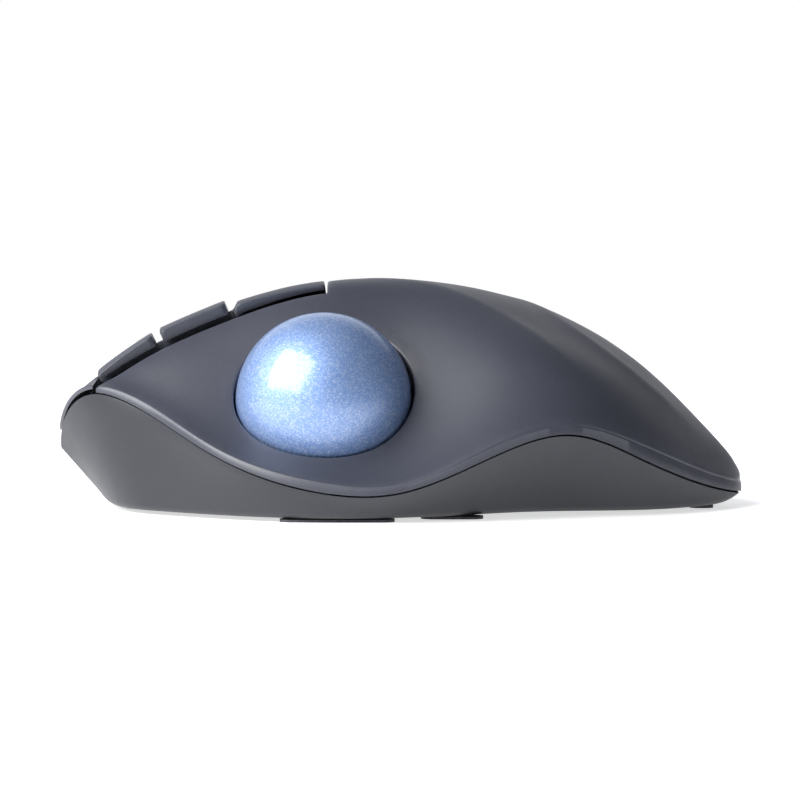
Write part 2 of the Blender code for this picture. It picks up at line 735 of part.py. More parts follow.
def bay():
    """The battery bay's inner box: low and high corners in plan."""
    low = (CELL_START_X - SPRING_ROOM, CELL_Y - CELL_RADIUS - 2 * GAP)
    high = (CELL_START_X + CELL_LENGTH + PLATE_ROOM, CELL_Y + CELL_RADIUS + 2 * GAP)
    return low, high


def receiver_box():
    low = Vector((CELL_START_X + 4.0, bay()[1][1] + BAY_WALL + GAP, DOOR_TOP + 2 * GAP))
    return low, low + Vector(RECEIVER)


def opening_plan():
    """The base's opening for the cell and the receiver."""
    low, high = bay()
    return low, (high[0], receiver_box()[1][1] + GAP)


def bottom_shell():
    shell = part("bottom_shell", bottom_shell_mesh(), BASE)
    below = BASE_Z - PAST
    joint = BASE_Z + BITE
    low, high = opening_plan()
    edge = DOOR_LIP + BAY_WALL
    collar = box_mesh((low[0] - edge, low[1] - edge, joint),
                      (high[0] + edge, high[1] + edge, DOOR_TOP + GAP + COLLAR))
    cut(shell, cutter("bay_collar", collar), "UNION")
    bay_low, bay_high = bay()
    cradle_low = (bay_low[0] - BAY_WALL, bay_low[1] - BAY_WALL, FLOOR_TOP)
    cradle_high = (bay_high[0] + BAY_WALL, bay_high[1] + BAY_WALL, CELL_Z + CRADLE_RISE)
    cut(shell, cutter("bay_cradle", box_mesh(cradle_low, cradle_high)), "UNION")
    for i, (x, y) in enumerate(FRONT_SCREWS + REAR_SCREWS):
        boss = rod_mesh((x, y, joint), (x, y, BOSS_TOP), BOSS_RADIUS, 24)
        cut(shell, cutter(f"boss_{i}", boss), "UNION")
    recess = box_mesh((low[0] - DOOR_LIP, low[1] - DOOR_LIP, below),
                      (high[0] + DOOR_LIP, high[1] + DOOR_LIP, DOOR_TOP + GAP))
    cut(shell, cutter("door_recess", recess))
    cell_room = box_mesh((bay_low[0], bay_low[1], below),
                         (bay_high[0], bay_high[1], CELL_Z + CRADLE_RISE + PAST))
    cut(shell, cutter("cell_room", cell_room))
    box_low, box_high = receiver_box()
    room = box_mesh((box_low.x - GAP, box_low.y - GAP, below),
                    (box_high.x + GAP, box_high.y + GAP, CELL_Z + CRADLE_RISE + PAST))
    cut(shell, cutter("receiver_room", room))
    for i, (x, y) in enumerate(FRONT_SCREWS + REAR_SCREWS):
        head = rod_mesh((x, y, below), (x, y, BASE_Z + SCREW_HEAD + 2 * GAP), SCREW_HEAD_RADIUS + GAP, 24)
        cut(shell, cutter(f"head_recess_{i}", head))
        shank = rod_mesh((x, y, BASE_Z), (x, y, BOSS_TOP + PAST), SCREW_RADIUS + GAP, 16)
        cut(shell, cutter(f"shank_hole_{i}", shank))
    x, y = BALL_CENTRE.xy
    push = rod_mesh((x, y, below), (x, y, FLOOR_TOP + PAST), PUSH_HOLE_RADIUS, 32)
    cut(shell, cutter("push_hole", push))
    x, y = SLIDER_AT
    slot = box_mesh((x - SLIDER[0] / 2 - GAP, y - SLIDER[1] / 2 - GAP, BASE_Z - 1),
                    (x + SLIDER[0] / 2 + SLIDER_TRAVEL + GAP, y + SLIDER[1] / 2 + GAP, FLOOR_TOP + 1))
    cut(shell, cutter("slider_slot", slot))
    x, y = CONNECT_AT
    hole = rod_mesh((x, y, BASE_Z - 1), (x, y, FLOOR_TOP + 1), CONNECT_RADIUS + GAP, 24)
    cut(shell, cutter("connect_hole", hole))


# ---------------------------------------------------------------- buttons and the frame under them

def side_inner(x):
    """The line between the side buttons and the left button."""
    return EDGE_AT(x) + EDGE_GAP + SIDE_WIDTH


def wheel_centre():
    top = float(height(WHEEL_X, SPLIT_Y)[0]) + WHEEL_PROUD
    return Vector((WHEEL_X, SPLIT_Y, top - WHEEL_RADIUS))


def split_edge(side):
    """The inner edge of a main button along the split, with the wheel's notch, front to rear."""
    reach = WHEEL_RADIUS + NOTCH_END
    notch = SPLIT_Y + side * (WHEEL_WIDTH / 2 + NOTCH_SIDE)
    line = SPLIT_Y + side * SEAM / 2
    return [(WHEEL_X - reach - NOTCH_SLANT, line), (WHEEL_X - reach, notch), (WHEEL_X, notch),
            (WHEEL_X + reach, notch), (WHEEL_X + reach + NOTCH_SLANT, line), (HINGE_X, line)]


def nose(side, end_x, count):
    """A main button's front edge, from the split round to where its side edge begins."""
    own = outline(-LENGTH / 2, end_x, side, count, PLATE_PROUD)
    other = outline(-LENGTH / 2, end_x, -side, count, PLATE_PROUD)
    line = np.concatenate((other[:0:-1], own))
    limit = SPLIT_Y + side * SEAM / 2
    start = np.interp(limit * side, line[:, 1] * side, line[:, 0])
    return np.concatenate((((start, limit),), line[(line[:, 1] - limit) * side > 0.8]))


def shoulder_spots():
    """Points along the shoulder's two edges, so that the plate bends there."""
    start, end = BACK_X[1] + SEAM + SHOULDER_NOSE, HINGE_X - 1.5
    half = SHOULDER_FADE / 2
    return np.concatenate([along_edge(side_inner, start, end, 5, side * half) for side in (-1, 1)])


def left_button_loop():
    front = nose(-1, FORWARD_X[0] - SEAM - 1.0, 9)
    notch_x = (FORWARD_X[0] - SEAM, BACK_X[1] + SEAM)
    return np.concatenate((
        front,
        along_edge(side_inner, notch_x[0], notch_x[1], 9, SEAM),
        along_edge(EDGE_AT, notch_x[1] + 0.6, HINGE_X, 6, EDGE_GAP),
        across(HINGE_X, EDGE_AT(HINGE_X) + EDGE_GAP, SPLIT_Y - SEAM / 2, 3),
        split_edge(-1)[::-1],
    ))


def right_button_loop():
    return np.concatenate((
        nose(1, RIGHT_TIP_X - 2.0, 8),
        along_edge(RIGHT_EDGE_AT, RIGHT_TIP_X, HINGE_X, 9),
        across(HINGE_X, RIGHT_EDGE_AT(HINGE_X), SPLIT_Y + SEAM / 2, 3),
        split_edge(1)[::-1],
    ))


def side_button_loop(ends):
    """Outer edge front to rear, then the inner edge back."""
    return np.concatenate((
        along_edge(EDGE_AT, ends[0], ends[1], 5, EDGE_GAP),
        along_edge(side_inner, ends[1], ends[0], 5),
    ))


def hinge_place():
    return (HINGE_X, SPLIT_Y, float(height(HINGE_X, SPLIT_Y)[0]) - 1.0)


def smooth(value):
    """Goes from 0 to 1 with no corner at either end."""
    value = np.clip(value, 0, 1)
    return value * value * (3 - 2 * value)


def shoulder(x, y):
    """0 to 1: how far a spot is on the left button's raised shoulder, from the back button to the hinge."""
    start = BACK_X[1] + SEAM
    beside = smooth((side_inner(x) + SHOULDER_FADE / 2 - y) / SHOULDER_FADE)
    return beside * smooth((x - start) / SHOULDER_NOSE)


def left_top(x, y):
    fall = np.clip((HINGE_X - x) / (HINGE_X - BACK_X[1]), 0, 1)
    return PLATE_PROUD + SHOULDER_PROUD * fall * shoulder(x, y)


def main_under(x, y):
    """The main buttons' underside, close under the surface at the thin front edge, then a full plate down."""
    front = np.concatenate((outline(-LENGTH / 2, NOSE_END_X, -1, 30)[::-1],
                            outline(-LENGTH / 2, NOSE_END_X, 1, 30)))
    deep = smooth((distance_to(np.column_stack((x, y)), front, closed=False) - WALL - SEAM) / WALL)
    return -EDGE_DEPTH - (PLATE - PLATE_PROUD - EDGE_DEPTH) * deep


def left_under(x, y):
    thin = shoulder(x, y)
    return main_under(x, y) * (1 - thin) - EDGE_DEPTH * thin


def main_button(name, loop, switch, proud=PLATE_PROUD, under=main_under, extra=()):
    mesh = plate_mesh([loop], proud, under, SURFACE_STEP, extra=extra)
    made = part(name, mesh, SHELL, hinge_place())
    x, y = switch
    low = switch_top() + PLUNGER_OUT + GAP
    stem = rod_mesh((x, y, low), (x, y, lowest_over(x, y, STEM_RADIUS)), STEM_RADIUS, 16)
    cut(made, cutter(name + "_stem", stem), "UNION")


def switch_top():
    return BOARD_Z + BOARD + GAP + SWITCH[2]


def side_spots():
    """For each side button: the point of the surface over its switch."""
    spots = []
    for ends in (FORWARD_X, BACK_X):
        x = sum(ends) / 2
        y = float(EDGE_AT(x)) + EDGE_GAP + 0.65 * SIDE_WIDTH
        spots.append(Vector((x, y, float(height(x, y)[0]))))
    return spots


def side_way():
    """The direction that the side buttons' switches face: square to the sloping board, along the ridge."""
    first, second = side_spots()
    slope = math.atan2(second.z - first.z, second.x - first.x)
    return Vector((-math.sin(slope), 0.0, math.cos(slope)))


def side_button(name, ends, proud, spot):
    def top(x, y):
        return np.interp(x, ends, proud)

    mesh = plate_mesh([side_button_loop(ends)], top, SIDE_LIFT, SIDE_STEP)
    made = part(name, mesh, SHELL, spot)
    way = side_way()
    low = spot - way * (SIDE_BOARD_DEPTH - GAP - TACT[2] - PLUNGER_OUT - GAP)
    stem = rod_mesh(low, spot + way * (SIDE_LIFT + BITE), STEM_RADIUS, 16)
    cut(made, cutter(name + "_stem", stem), "UNION")


def inner_frame():
    """The black plate under the buttons, seen in the gap along the thumb rest's upper edge."""
    start, end = FRAME_FRONT_X, HINGE_X + FRAME_BEHIND_HINGE
    under = FRAME_UNDER
    loop = np.concatenate((
        along_edge(EDGE_AT, start, end, 14, SEAM - under),
        across(end, EDGE_AT(end) - under, RIGHT_EDGE_AT(end) - under, 6),
        along_edge(RIGHT_EDGE_AT, end, start, 12, -under),
        across(start, RIGHT_EDGE_AT(start) - under, EDGE_AT(start) + under, 6),
    ))
    loop[0] += (FRAME_CORNER, under)
    mesh = plate_mesh([loop], -FRAME_DEPTH, -FRAME_DEPTH - FRAME_PLATE, SURFACE_STEP)
    made = part("inner_frame", mesh, BLACK)
    add_posts(made, FRONT_SCREWS, FRAME_DEPTH)
    half = WHEEL_WIDTH / 2 + ARM_GAP + ARM + NOTCH_SIDE
    slot = box_mesh((MIDDLE_SWITCH_X - MIDDLE_SLOT, SPLIT_Y - half, BOARD_Z),
                    (WHEEL_X + WHEEL_RADIUS + NOTCH_END, SPLIT_Y + half, HEIGHT))
    cut(made, cutter("wheel_slot", slot))
    low, high = encoder_box()
    room = box_mesh((low.x - NOTCH_SIDE, SPLIT_Y, BOARD_Z),
                    (high.x + NOTCH_SIDE, high.y + NOTCH_SIDE, HEIGHT))
    cut(made, cutter("encoder_room", room))
    for i, (x, y) in enumerate((LEFT_SWITCH, RIGHT_SWITCH)):
        stem = rod_mesh((x, y, switch_top()), (x, y, HEIGHT), STEM_RADIUS + STEM_ROOM, 20)
        cut(made, cutter(f"stem_hole_{i}", stem))
    way = side_way()
    size = (TACT[0] + 2 * TACT_ROOM, TACT[1] + 2 * TACT_ROOM)
    for i, spot in enumerate(side_spots()):
        room = facing_up_box(spot - way * SIDE_BOARD_DEPTH, way, *size, SIDE_BOARD_DEPTH)
        cut(made, cutter(f"side_switch_room_{i}", room))


# ---------------------------------------------------------------- ball, cup and sensor

def trackball():
    mesh = bmesh.new()
    bmesh.ops.create_uvsphere(mesh, u_segments=36, v_segments=20, radius=BALL_RADIUS,
                              matrix=Matrix.Translation(BALL_CENTRE))
    made = part("trackball", mesh, BALL, BALL_CENTRE)
    made.data.shade_smooth()


def support_ways():
    """Directions from the ball's centre to its three supports."""
    back = -BALL_AXIS
    across = Vector((1, 0, 0))
    up = back.cross(across)
    ways = []
    for turn in (90, 210, 330):
        angle = math.radians(turn)
        ways.append(back * math.cos(SUPPORT_POLAR)
                    + (across * math.cos(angle) + up * math.sin(angle)) * math.sin(SUPPORT_POLAR))
    return ways


def ball_cup():
    inner = BALL_RADIUS + CUP_CLEARANCE
    outer = inner + CUP_WALL
    steps = 9
    profile = []
    for radius, order in ((inner, range(steps + 1)), (outer, range(steps, -1, -1))):
        top = math.asin(CUP_RIM_DROP / radius)
        for k in order:
            angle = math.pi / 2 - (math.pi / 2 - top) * k / steps
            profile.append((radius * math.cos(angle), -radius * math.sin(angle)))
    mesh = turned_mesh(profile, BALL_CENTRE, BALL_AXIS, 36)
    made = part("ball_cup", mesh, BLACK)
    push = rod_mesh((BALL_CENTRE.x, BALL_CENTRE.y, BASE_Z), BALL_CENTRE, PUSH_HOLE_RADIUS, 32)
    cut(made, cutter("cup_push_hole", push))
    for i, way in enumerate(support_ways()):
        start, end = BALL_CENTRE + way * (inner - 2 * PAST), BALL_CENTRE + way * (outer + 2 * PAST)
        socket = rod_mesh(start, end, SUPPORT_RADIUS + GAP, 16)
        cut(made, cutter(f"support_socket_{i}", socket))
    start, end = [BALL_CENTRE + SENSOR_HEADING * reach for reach in (inner - 2 * PAST, outer + 2 * PAST)]
    window = rod_mesh(start, end, SENSOR_WINDOW_RADIUS, 24)
    cut(made, cutter("sensor_window", window))


def supports():
    for i, way in enumerate(support_ways()):
        place = BALL_CENTRE + way * (BALL_RADIUS + GAP + SUPPORT_RADIUS)
        mesh = bmesh.new()
        bmesh.ops.create_uvsphere(mesh, u_segments=12, v_segments=8, radius=SUPPORT_RADIUS,
                                  matrix=Matrix.Translation(place))
        part(f"support_bearing_{i + 1}", mesh, CERAMIC, place)


def facing_box(start, depth, wide, tall):
    """A box behind the sensor window: its front face is start from the ball's centre."""
    mesh = box_mesh((-wide / 2, start, -tall / 2), (wide / 2, start + depth, tall / 2))
    turn = Vector((0, 1, 0)).rotation_difference(SENSOR_HEADING).to_matrix().to_4x4()
    bmesh.ops.transform(mesh, matrix=Matrix.Translation(BALL_CENTRE) @ turn, verts=mesh.verts)
    return mesh


def sensor():
    lens_start = BALL_RADIUS + CUP_CLEARANCE + CUP_WALL + GAP
    lens = 1.8
    chip = 2.7
    part("sensor_lens", rod_mesh(BALL_CENTRE + SENSOR_HEADING * lens_start,
                                 BALL_CENTRE + SENSOR_HEADING * (lens_start + lens), 3.0, 24), CLEAR)
    part("optical_sensor", facing_box(lens_start + lens + GAP, chip, 9.0, 10.0), SWITCH_BODY)
    part("sensor_board", facing_box(lens_start + lens + chip + 2 * GAP, BOARD, 17.0, 14.0), BOARD_GREEN)


# ---------------------------------------------------------------- scroll wheel

def scroll_wheel():
    centre = wheel_centre()
    half = WHEEL_WIDTH / 2
    across = Vector((0, 1, 0))
    hub_radius = WHEEL_RADIUS - TYRE - GAP
    bore = AXLE_RADIUS + GAP
    hub = [(bore, -half + 0.4), (hub_radius - 0.6, -half + 0.4), (hub_radius, -half + 1.0),
           (hub_radius, half - 1.0), (hub_radius - 0.6, half - 0.4), (bore, half - 0.4)]
    part("scroll_wheel", turned_mesh(hub, centre, across, 36), BLACK, centre)
    inner = WHEEL_RADIUS - TYRE
    tyre = [(inner, -half + 0.5), (WHEEL_RADIUS - 0.9, -half), (WHEEL_RADIUS - 0.2, -half + 0.8),
            (WHEEL_RADIUS, 0.0), (WHEEL_RADIUS - 0.2, half - 0.8), (WHEEL_RADIUS - 0.9, half),
            (inner, half - 0.5)]
    part("wheel_tyre", turned_mesh(tyre, centre, across, 36), RUBBER, centre)
    start = centre - across * (half + ARM_GAP + ARM + 0.7)
    part("wheel_axle", rod_mesh(start, start + across * AXLE_LENGTH, AXLE_RADIUS, 16), STEEL, centre)


def side_plate(outline_xz, y_low, y_high):
    """A flat plate cut to an outline in x and z, square to the width."""
    mesh = bmesh.new()
    first = [mesh.verts.new((x, y_low, z)) for x, z in outline_xz]
    second = [mesh.verts.new((x, y_high, z)) for x, z in outline_xz]
    mesh.faces.new(first)
    mesh.faces.new(second)
    for i in range(len(first)):
        j = (i + 1) % len(first)
        mesh.faces.new((first[i], first[j], second[j], second[i]))
    bmesh.ops.recalc_face_normals(mesh, faces=mesh.faces)
    return mesh


def click_bar():
    """Height of the underside of the carrier's front bar, over the middle switch."""
    return BOARD_Z + BOARD + GAP + TACT[2] + PLUNGER_OUT + GAP


def wheel_carrier():
    centre = wheel_centre()
    pivot = CARRIER_PIVOT
    low = click_bar()
    front_x = MIDDLE_SWITCH_X - 1.7
    bar_x = MIDDLE_SWITCH_X + 1.7
    side = ((pivot.x + 2.5, pivot.z - 2), (pivot.x + 2.5, pivot.z + 2), (centre.x + 2.4, centre.z + 2.3),
            (centre.x - 2.4, centre.z + 2.3), (front_x, low + 3.5), (front_x, low), (bar_x, low),
            (centre.x - 2.6, centre.z - 2.8), (centre.x + 2.6, centre.z - 2.8))
    gap = WHEEL_WIDTH / 2 + ARM_GAP
    left, right = SPLIT_Y - gap - ARM, SPLIT_Y + gap + ARM
    made = part("wheel_carrier", side_plate(side, left, left + ARM), BLACK, pivot)
    cut(made, cutter("carrier_arm", side_plate(side, right - ARM, right)), "UNION")
    bar = box_mesh((front_x + 0.1, left + 0.5, low + 0.1), (bar_x - 0.1, right - 0.5, low + 3.0))
    cut(made, cutter("carrier_front_bar", bar), "UNION")
    rear = box_mesh((pivot.x - 1.5, left + 0.5, pivot.z - 1.5), (pivot.x + 1.5, right - 0.5, pivot.z + 1.5))
    cut(made, cutter("carrier_rear_bar", rear), "UNION")
    bore = rod_mesh((centre.x, left - 1, centre.z), (centre.x, right + 1, centre.z), AXLE_RADIUS + GAP, 20)
    cut(made, cutter("carrier_bore", bore))


def encoder_box():
    centre = wheel_centre()
    near = SPLIT_Y + WHEEL_WIDTH / 2 + ARM_GAP + ARM + 1.0
    return (Vector((centre.x - ENCODER_LENGTH / 2, near, BOARD_Z + BOARD + GAP)),
            Vector((centre.x + ENCODER_LENGTH / 2, near + ENCODER_LENGTH / 2, centre.z - GAP)))


def wheel_encoder():
    """The encoder's slot is open at the top, so that the axle's end drops in."""
    low, high = encoder_box()
    made = part("wheel_encoder", box_mesh(low, high), SWITCH_BODY)
    centre = wheel_centre()
    room = AXLE_RADIUS + GAP + CLICK_TRAVEL
    bore = rod_mesh((centre.x, low.y - 1, centre.z), (centre.x, high.y + 1, centre.z), room, 20)
    cut(made, cutter("encoder_bore", bore))


# ---------------------------------------------------------------- boards, switches and the ribbon

def facing_up_box(foot, way, wide, deep, tall):
    """A box that stands on foot and faces way."""
    mesh = box_mesh((-wide / 2, -deep / 2, 0), (wide / 2, deep / 2, tall))
    turn = Vector((0, 0, 1)).rotation_difference(way).to_matrix().to_4x4()
    bmesh.ops.transform(mesh, matrix=Matrix.Translation(foot) @ turn, verts=mesh.verts)
    return mesh


def flat_mesh(corners, low, high):
    """An outline in plan, extruded upwards."""
    mesh = bmesh.new()
    face = mesh.faces.new([mesh.verts.new((x, y, low)) for x, y in corners])
    raised = bmesh.ops.extrude_face_region(mesh, geom=[face])["geom"]
    bmesh.ops.translate(mesh, verts=[v for v in raised if isinstance(v, bmesh.types.BMVert)],
                        vec=(0, 0, high - low))
    bmesh.ops.recalc_face_normals(mesh, faces=mesh.faces)
    return mesh


def main_board():
    made = part("main_board", flat_mesh(BOARD_OUTLINE, BOARD_Z, BOARD_Z + BOARD), BOARD_GREEN)
    for i, (x, y) in enumerate(FRONT_SCREWS):
        if x < BOARD_OUTLINE[2][0] + POST_RADIUS:
            room = rod_mesh((x, y, BOARD_Z - 1), (x, y, BOARD_Z + BOARD + 1), POST_RADIUS + 0.8, 24)
            cut(made, cutter(f"board_room_{i}", room))


def switch(name, x, y):
    low = BOARD_Z + BOARD + GAP
    part(name + "_switch", box_mesh((x - SWITCH[0] / 2, y - SWITCH[1] / 2, low),
                                    (x + SWITCH[0] / 2, y + SWITCH[1] / 2, low + SWITCH[2])), SWITCH_BODY)
    well = rod_mesh((x, y, low + SWITCH[2] - 2), (x, y, low + SWITCH[2] + 1), PLUNGER_RADIUS + GAP, 16)
    cut(bpy.data.objects[name + "_switch"], cutter(name + "_well", well))
    tip = low + SWITCH[2] + PLUNGER_OUT
    plunger = rod_mesh((x, y, tip - 2 * PLUNGER_OUT), (x, y, tip), PLUNGER_RADIUS, 16)
    part(name + "_plunger", plunger, PLUNGER, (x, y, tip))


def tact_switch(name, foot, way):
    """A small square push switch that stands at foot and faces way."""
    made = part(name + "_switch", facing_up_box(foot, way, *TACT), SWITCH_BODY)
    reach = 1.5
    radius = PLUNGER_RADIUS + 0.6
    base = foot + way * (TACT[2] - reach)
    well = rod_mesh(base, foot + way * (TACT[2] + 1), radius + GAP, 16)
    cut(made, cutter(name + "_well", well))
    start = base + way * (CONNECT_TRAVEL + GAP)
    tip = foot + way * (TACT[2] + PLUNGER_OUT)
    part(name + "_plunger", rod_mesh(start, tip, radius, 16), PLUNGER, tip)


def side_board():
    first, second = side_spots()
    way = side_way()
    foot = (first + second) / 2 - way * (SIDE_BOARD_DEPTH + BOARD)
    part("side_button_board", facing_up_box(foot, way, 20.0, 7.2, BOARD), BOARD_GREEN)
    for name, spot in (("forward", first), ("back", second)):
        tact_switch(name, spot - way * (SIDE_BOARD_DEPTH - GAP), way)


def ribbon():
    """The sensor board's flat cable, from under that board to the main board."""
    top = BOARD_Z + BOARD + GAP
    x = BOARD_OUTLINE[2][0]
    high = BALL_CENTRE.z - 7.0 - GAP
    thick = 0.4
    line = ((x + 2.4, high), (x + 2.2, top + 1.2), (x + 1.2, top + thick), (x - 3.0, top + thick),
            (x - 3.0, top), (x + 1.4, top), (x + 2.6, top + 1.0), (x + 2.8, high))
    part("ribbon_cable", side_plate(line, -9.0, -4.0), RIBBON)


# ---------------------------------------------------------------- battery, receiver, door and underside


def battery_cell():
    end = CELL_LENGTH - CELL_NUB[1]
    bevel = CELL_BEVEL
    profile = [(0, 0), (CELL_RADIUS - bevel, 0), (CELL_RADIUS, bevel), (CELL_RADIUS, end - bevel),
               (CELL_RADIUS - bevel, end), (CELL_NUB[0], end), (CELL_NUB[0], CELL_LENGTH), (0, CELL_LENGTH)]
    part("battery_cell", turned_mesh(profile, (CELL_START_X, CELL_Y, CELL_Z), (1, 0, 0), 32), CELL)


def battery_contacts():
    wire = 0.35
    turns, steps = 2.5, 14
    start = CELL_START_X - SPRING_ROOM + GAP + wire
    length = SPRING_ROOM - 2 * GAP - 2 * wire
    line = bpy.data.curves.new("battery_spring", "CURVE")
    line.dimensions = "3D"
    line.bevel_depth = wire * MM
    line.bevel_resolution = 1
    line.use_fill_caps = True
    spline = line.splines.new("POLY")
    count = int(turns * steps)
    spline.points.add(count)
    for i in range(count + 1):
        angle = 2 * math.pi * i / steps
        radius = 4.0 - 1.6 * i / count
        spot = (start + length * i / count, CELL_Y + radius * math.cos(angle),
                CELL_Z + radius * math.sin(angle))
        spline.points[i].co = (*(v * MM for v in spot), 1.0)
    made = bpy.data.objects.new("battery_spring", line)
    made.data.materials.append(material(*NICKEL))
    PARTS.objects.link(made)
    x = CELL_START_X + CELL_LENGTH + GAP
    part("battery_plate", box_mesh((x, CELL_Y - 4, CELL_Z - 4), (x + 0.5, CELL_Y + 4, CELL_Z + 4)), NICKEL)


def door_pivot():
    low, high = opening_plan()
    return Vector((low[0] - DOOR_LIP + 2 * GAP + DOOR / 2, (low[1] + high[1]) / 2, BASE_Z + DOOR / 2))


def battery_door():
    low, high = opening_plan()
    front, rear = low[0] - DOOR_LIP + 2 * GAP, high[0] + DOOR_LIP - GAP
    left, right = low[1] - DOOR_LIP + GAP, high[1] + DOOR_LIP - GAP
    corners = ((front, left), (rear, left), (rear, right), (front, right))
    made = part("battery_door", flat_mesh(corners, BASE_Z, DOOR_TOP), BASE, door_pivot())
    x, y = high[0] - THUMB_DENT, door_pivot().y
    thumb = rod_mesh((x, y, BASE_Z - PAST), (x, y, BASE_Z + BITE), THUMB_DENT, 24)
    cut(made, cutter("door_thumb_dent", thumb))


def usb_receiver():
    low, high = receiver_box()
    plug, inset = RECEIVER_PLUG
    made = part("usb_receiver", box_mesh(low, (high.x - plug, high.y, high.z)), BLACK)
    tongue = box_mesh((high.x - plug - BITE, low.y + inset, low.z + inset),
                      (high.x, high.y - inset, high.z - inset))
    cut(made, cutter("receiver_plug", tongue), "UNION")


def underside_controls():
    x, y = SLIDER_AT
    half_x, half_y = SLIDER[0] / 2, SLIDER[1] / 2
    knob = box_mesh((x - half_x, y - half_y, BASE_Z + GAP), (x + half_x, y + half_y, FLOOR_TOP + PAST))
    part("power_slider", knob, PLUNGER, (x, y, BASE_Z))
    low = FLOOR_TOP + PAST + GAP
    part("power_switch", box_mesh((x - 4, y - 2, low), (x + 6, y + 2, BOARD_Z - GAP)), SWITCH_BODY)
    x, y = CONNECT_AT
    cap_top = FLOOR_TOP + 1.0
    part("connect_button", rod_mesh((x, y, BASE_Z + GAP), (x, y, cap_top), CONNECT_RADIUS, 24), PLUNGER,
         (x, y, BASE_Z))
    low = cap_top + CONNECT_TRAVEL + GAP
    part("connect_switch", box_mesh((x - 3, y - 3, low), (x + 3, y + 3, BOARD_Z - GAP)), SWITCH_BODY)


def feet():
    for i, (x, y, half_x, half_y) in enumerate(FEET):
        corners = rounded([(x - half_x, y - half_y), (x + half_x, y - half_y), (x + half_x, y + half_y),
                           (x - half_x, y + half_y)], min(half_x, half_y) * 0.8)
        part(f"foot_{i + 1}", flat_mesh(corners, 0.0, FOOT_HEIGHT), GLIDE)


def screws():
    for i, (x, y) in enumerate(FRONT_SCREWS + REAR_SCREWS):
        low = BASE_Z + GAP
        head = low + SCREW_HEAD
        tip = SCREW_HEAD + SCREW_LENGTH
        profile = [(0, 0), (SCREW_HEAD_RADIUS, 0), (SCREW_HEAD_RADIUS, SCREW_HEAD),
                   (SCREW_RADIUS, SCREW_HEAD), (SCREW_RADIUS, tip - SCREW_POINT),
                   (SCREW_POINT_RADIUS, tip), (0, tip)]
        mesh = turned_mesh(profile, (x, y, low), (0, 0, 1), 16)
        made = part(f"case_screw_{i + 1}", mesh, STEEL, (x, y, head))
        long, short, deep = SCREW_CROSS
        for k, arm in enumerate(((long, short), (short, long))):
            slot = box_mesh((x - arm[0], y - arm[1], low - PAST), (x + arm[0], y + arm[1], low + deep))
            cut(made, cutter(f"screw_{i + 1}_slot_{k}", slot))


clear_scene()
top_shell()
bottom_shell()
inner_frame()
main_button("left_button", left_button_loop(), LEFT_SWITCH, left_top, left_under, shoulder_spots())
main_button("right_button", right_button_loop(), RIGHT_SWITCH)
side_button("forward_button", FORWARD_X, FORWARD_PROUD, side_spots()[0])
side_button("back_button", BACK_X, BACK_PROUD, side_spots()[1])
trackball()
ball_cup()
supports()
sensor()
scroll_wheel()
wheel_carrier()
wheel_encoder()
main_board()
switch("left", *LEFT_SWITCH)
switch("right", *RIGHT_SWITCH)
tact_switch("middle", Vector((MIDDLE_SWITCH_X, SPLIT_Y, BOARD_Z + BOARD + GAP)), Vector((0, 0, 1)))
side_board()
ribbon()
battery_cell()
battery_contacts()
battery_door()
usb_receiver()
underside_controls()
feet()
screws()
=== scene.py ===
"""Thumb-operated trackball mouse: the looks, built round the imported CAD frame, in metres, +Z up."""

import math

import bmesh
import bpy
import numpy as np
from mathutils import Matrix, Vector
from mathutils.geometry import delaunay_2d_cdt


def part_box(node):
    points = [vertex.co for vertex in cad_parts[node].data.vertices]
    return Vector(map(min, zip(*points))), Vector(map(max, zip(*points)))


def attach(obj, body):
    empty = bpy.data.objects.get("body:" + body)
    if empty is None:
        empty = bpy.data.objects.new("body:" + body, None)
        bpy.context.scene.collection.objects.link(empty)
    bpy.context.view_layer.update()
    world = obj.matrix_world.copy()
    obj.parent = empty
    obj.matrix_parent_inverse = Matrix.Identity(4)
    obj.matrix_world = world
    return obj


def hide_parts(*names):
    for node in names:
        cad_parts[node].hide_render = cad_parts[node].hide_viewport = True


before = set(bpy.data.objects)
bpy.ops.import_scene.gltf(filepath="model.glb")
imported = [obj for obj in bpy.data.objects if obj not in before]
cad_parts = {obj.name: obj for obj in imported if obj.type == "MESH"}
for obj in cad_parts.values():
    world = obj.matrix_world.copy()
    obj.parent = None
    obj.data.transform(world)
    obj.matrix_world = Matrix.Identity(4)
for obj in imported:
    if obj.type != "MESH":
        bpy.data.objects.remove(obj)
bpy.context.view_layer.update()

# ---------------------------------------------------------------- camera, floor and light
# A long lens far away, a little above the desk, looks at the thumb side. One big softbox
# stands to the left, above and on the camera's side, and the rest is a studio's walls.

MM = 0.001
VIEW_WIDTH = 156.9 * MM
SENSOR = 36.0
DISTANCE = 1.6
ELEVATION = math.radians(3.5)
AIM = Vector((0.0, 0.0, 20.8 * MM))

scene = bpy.context.scene
lens = bpy.data.cameras.new("long_lens")
lens.sensor_width = SENSOR
lens.lens = SENSOR * DISTANCE / VIEW_WIDTH
lens.clip_end = 20.0
camera = bpy.data.objects.new("camera", lens)
camera.location = AIM + DISTANCE * Vector((0.0, -math.cos(ELEVATION), math.sin(ELEVATION)))
camera.rotation_euler = (math.pi / 2 - ELEVATION, 0.0, 0.0)
scene.collection.objects.link(camera)
scene.camera = camera
scene.view_settings.view_transform = "Standard"


def linear(code):
    """A colour given as sRGB hex, as the linear values that a shader takes."""
    parts = [int(code[i:i + 2], 16) / 255 for i in (1, 3, 5)]
    return tuple(p / 12.92 if p <= 0.04045 else ((p + 0.055) / 1.055) ** 2.4 for p in parts) + (1.0,)


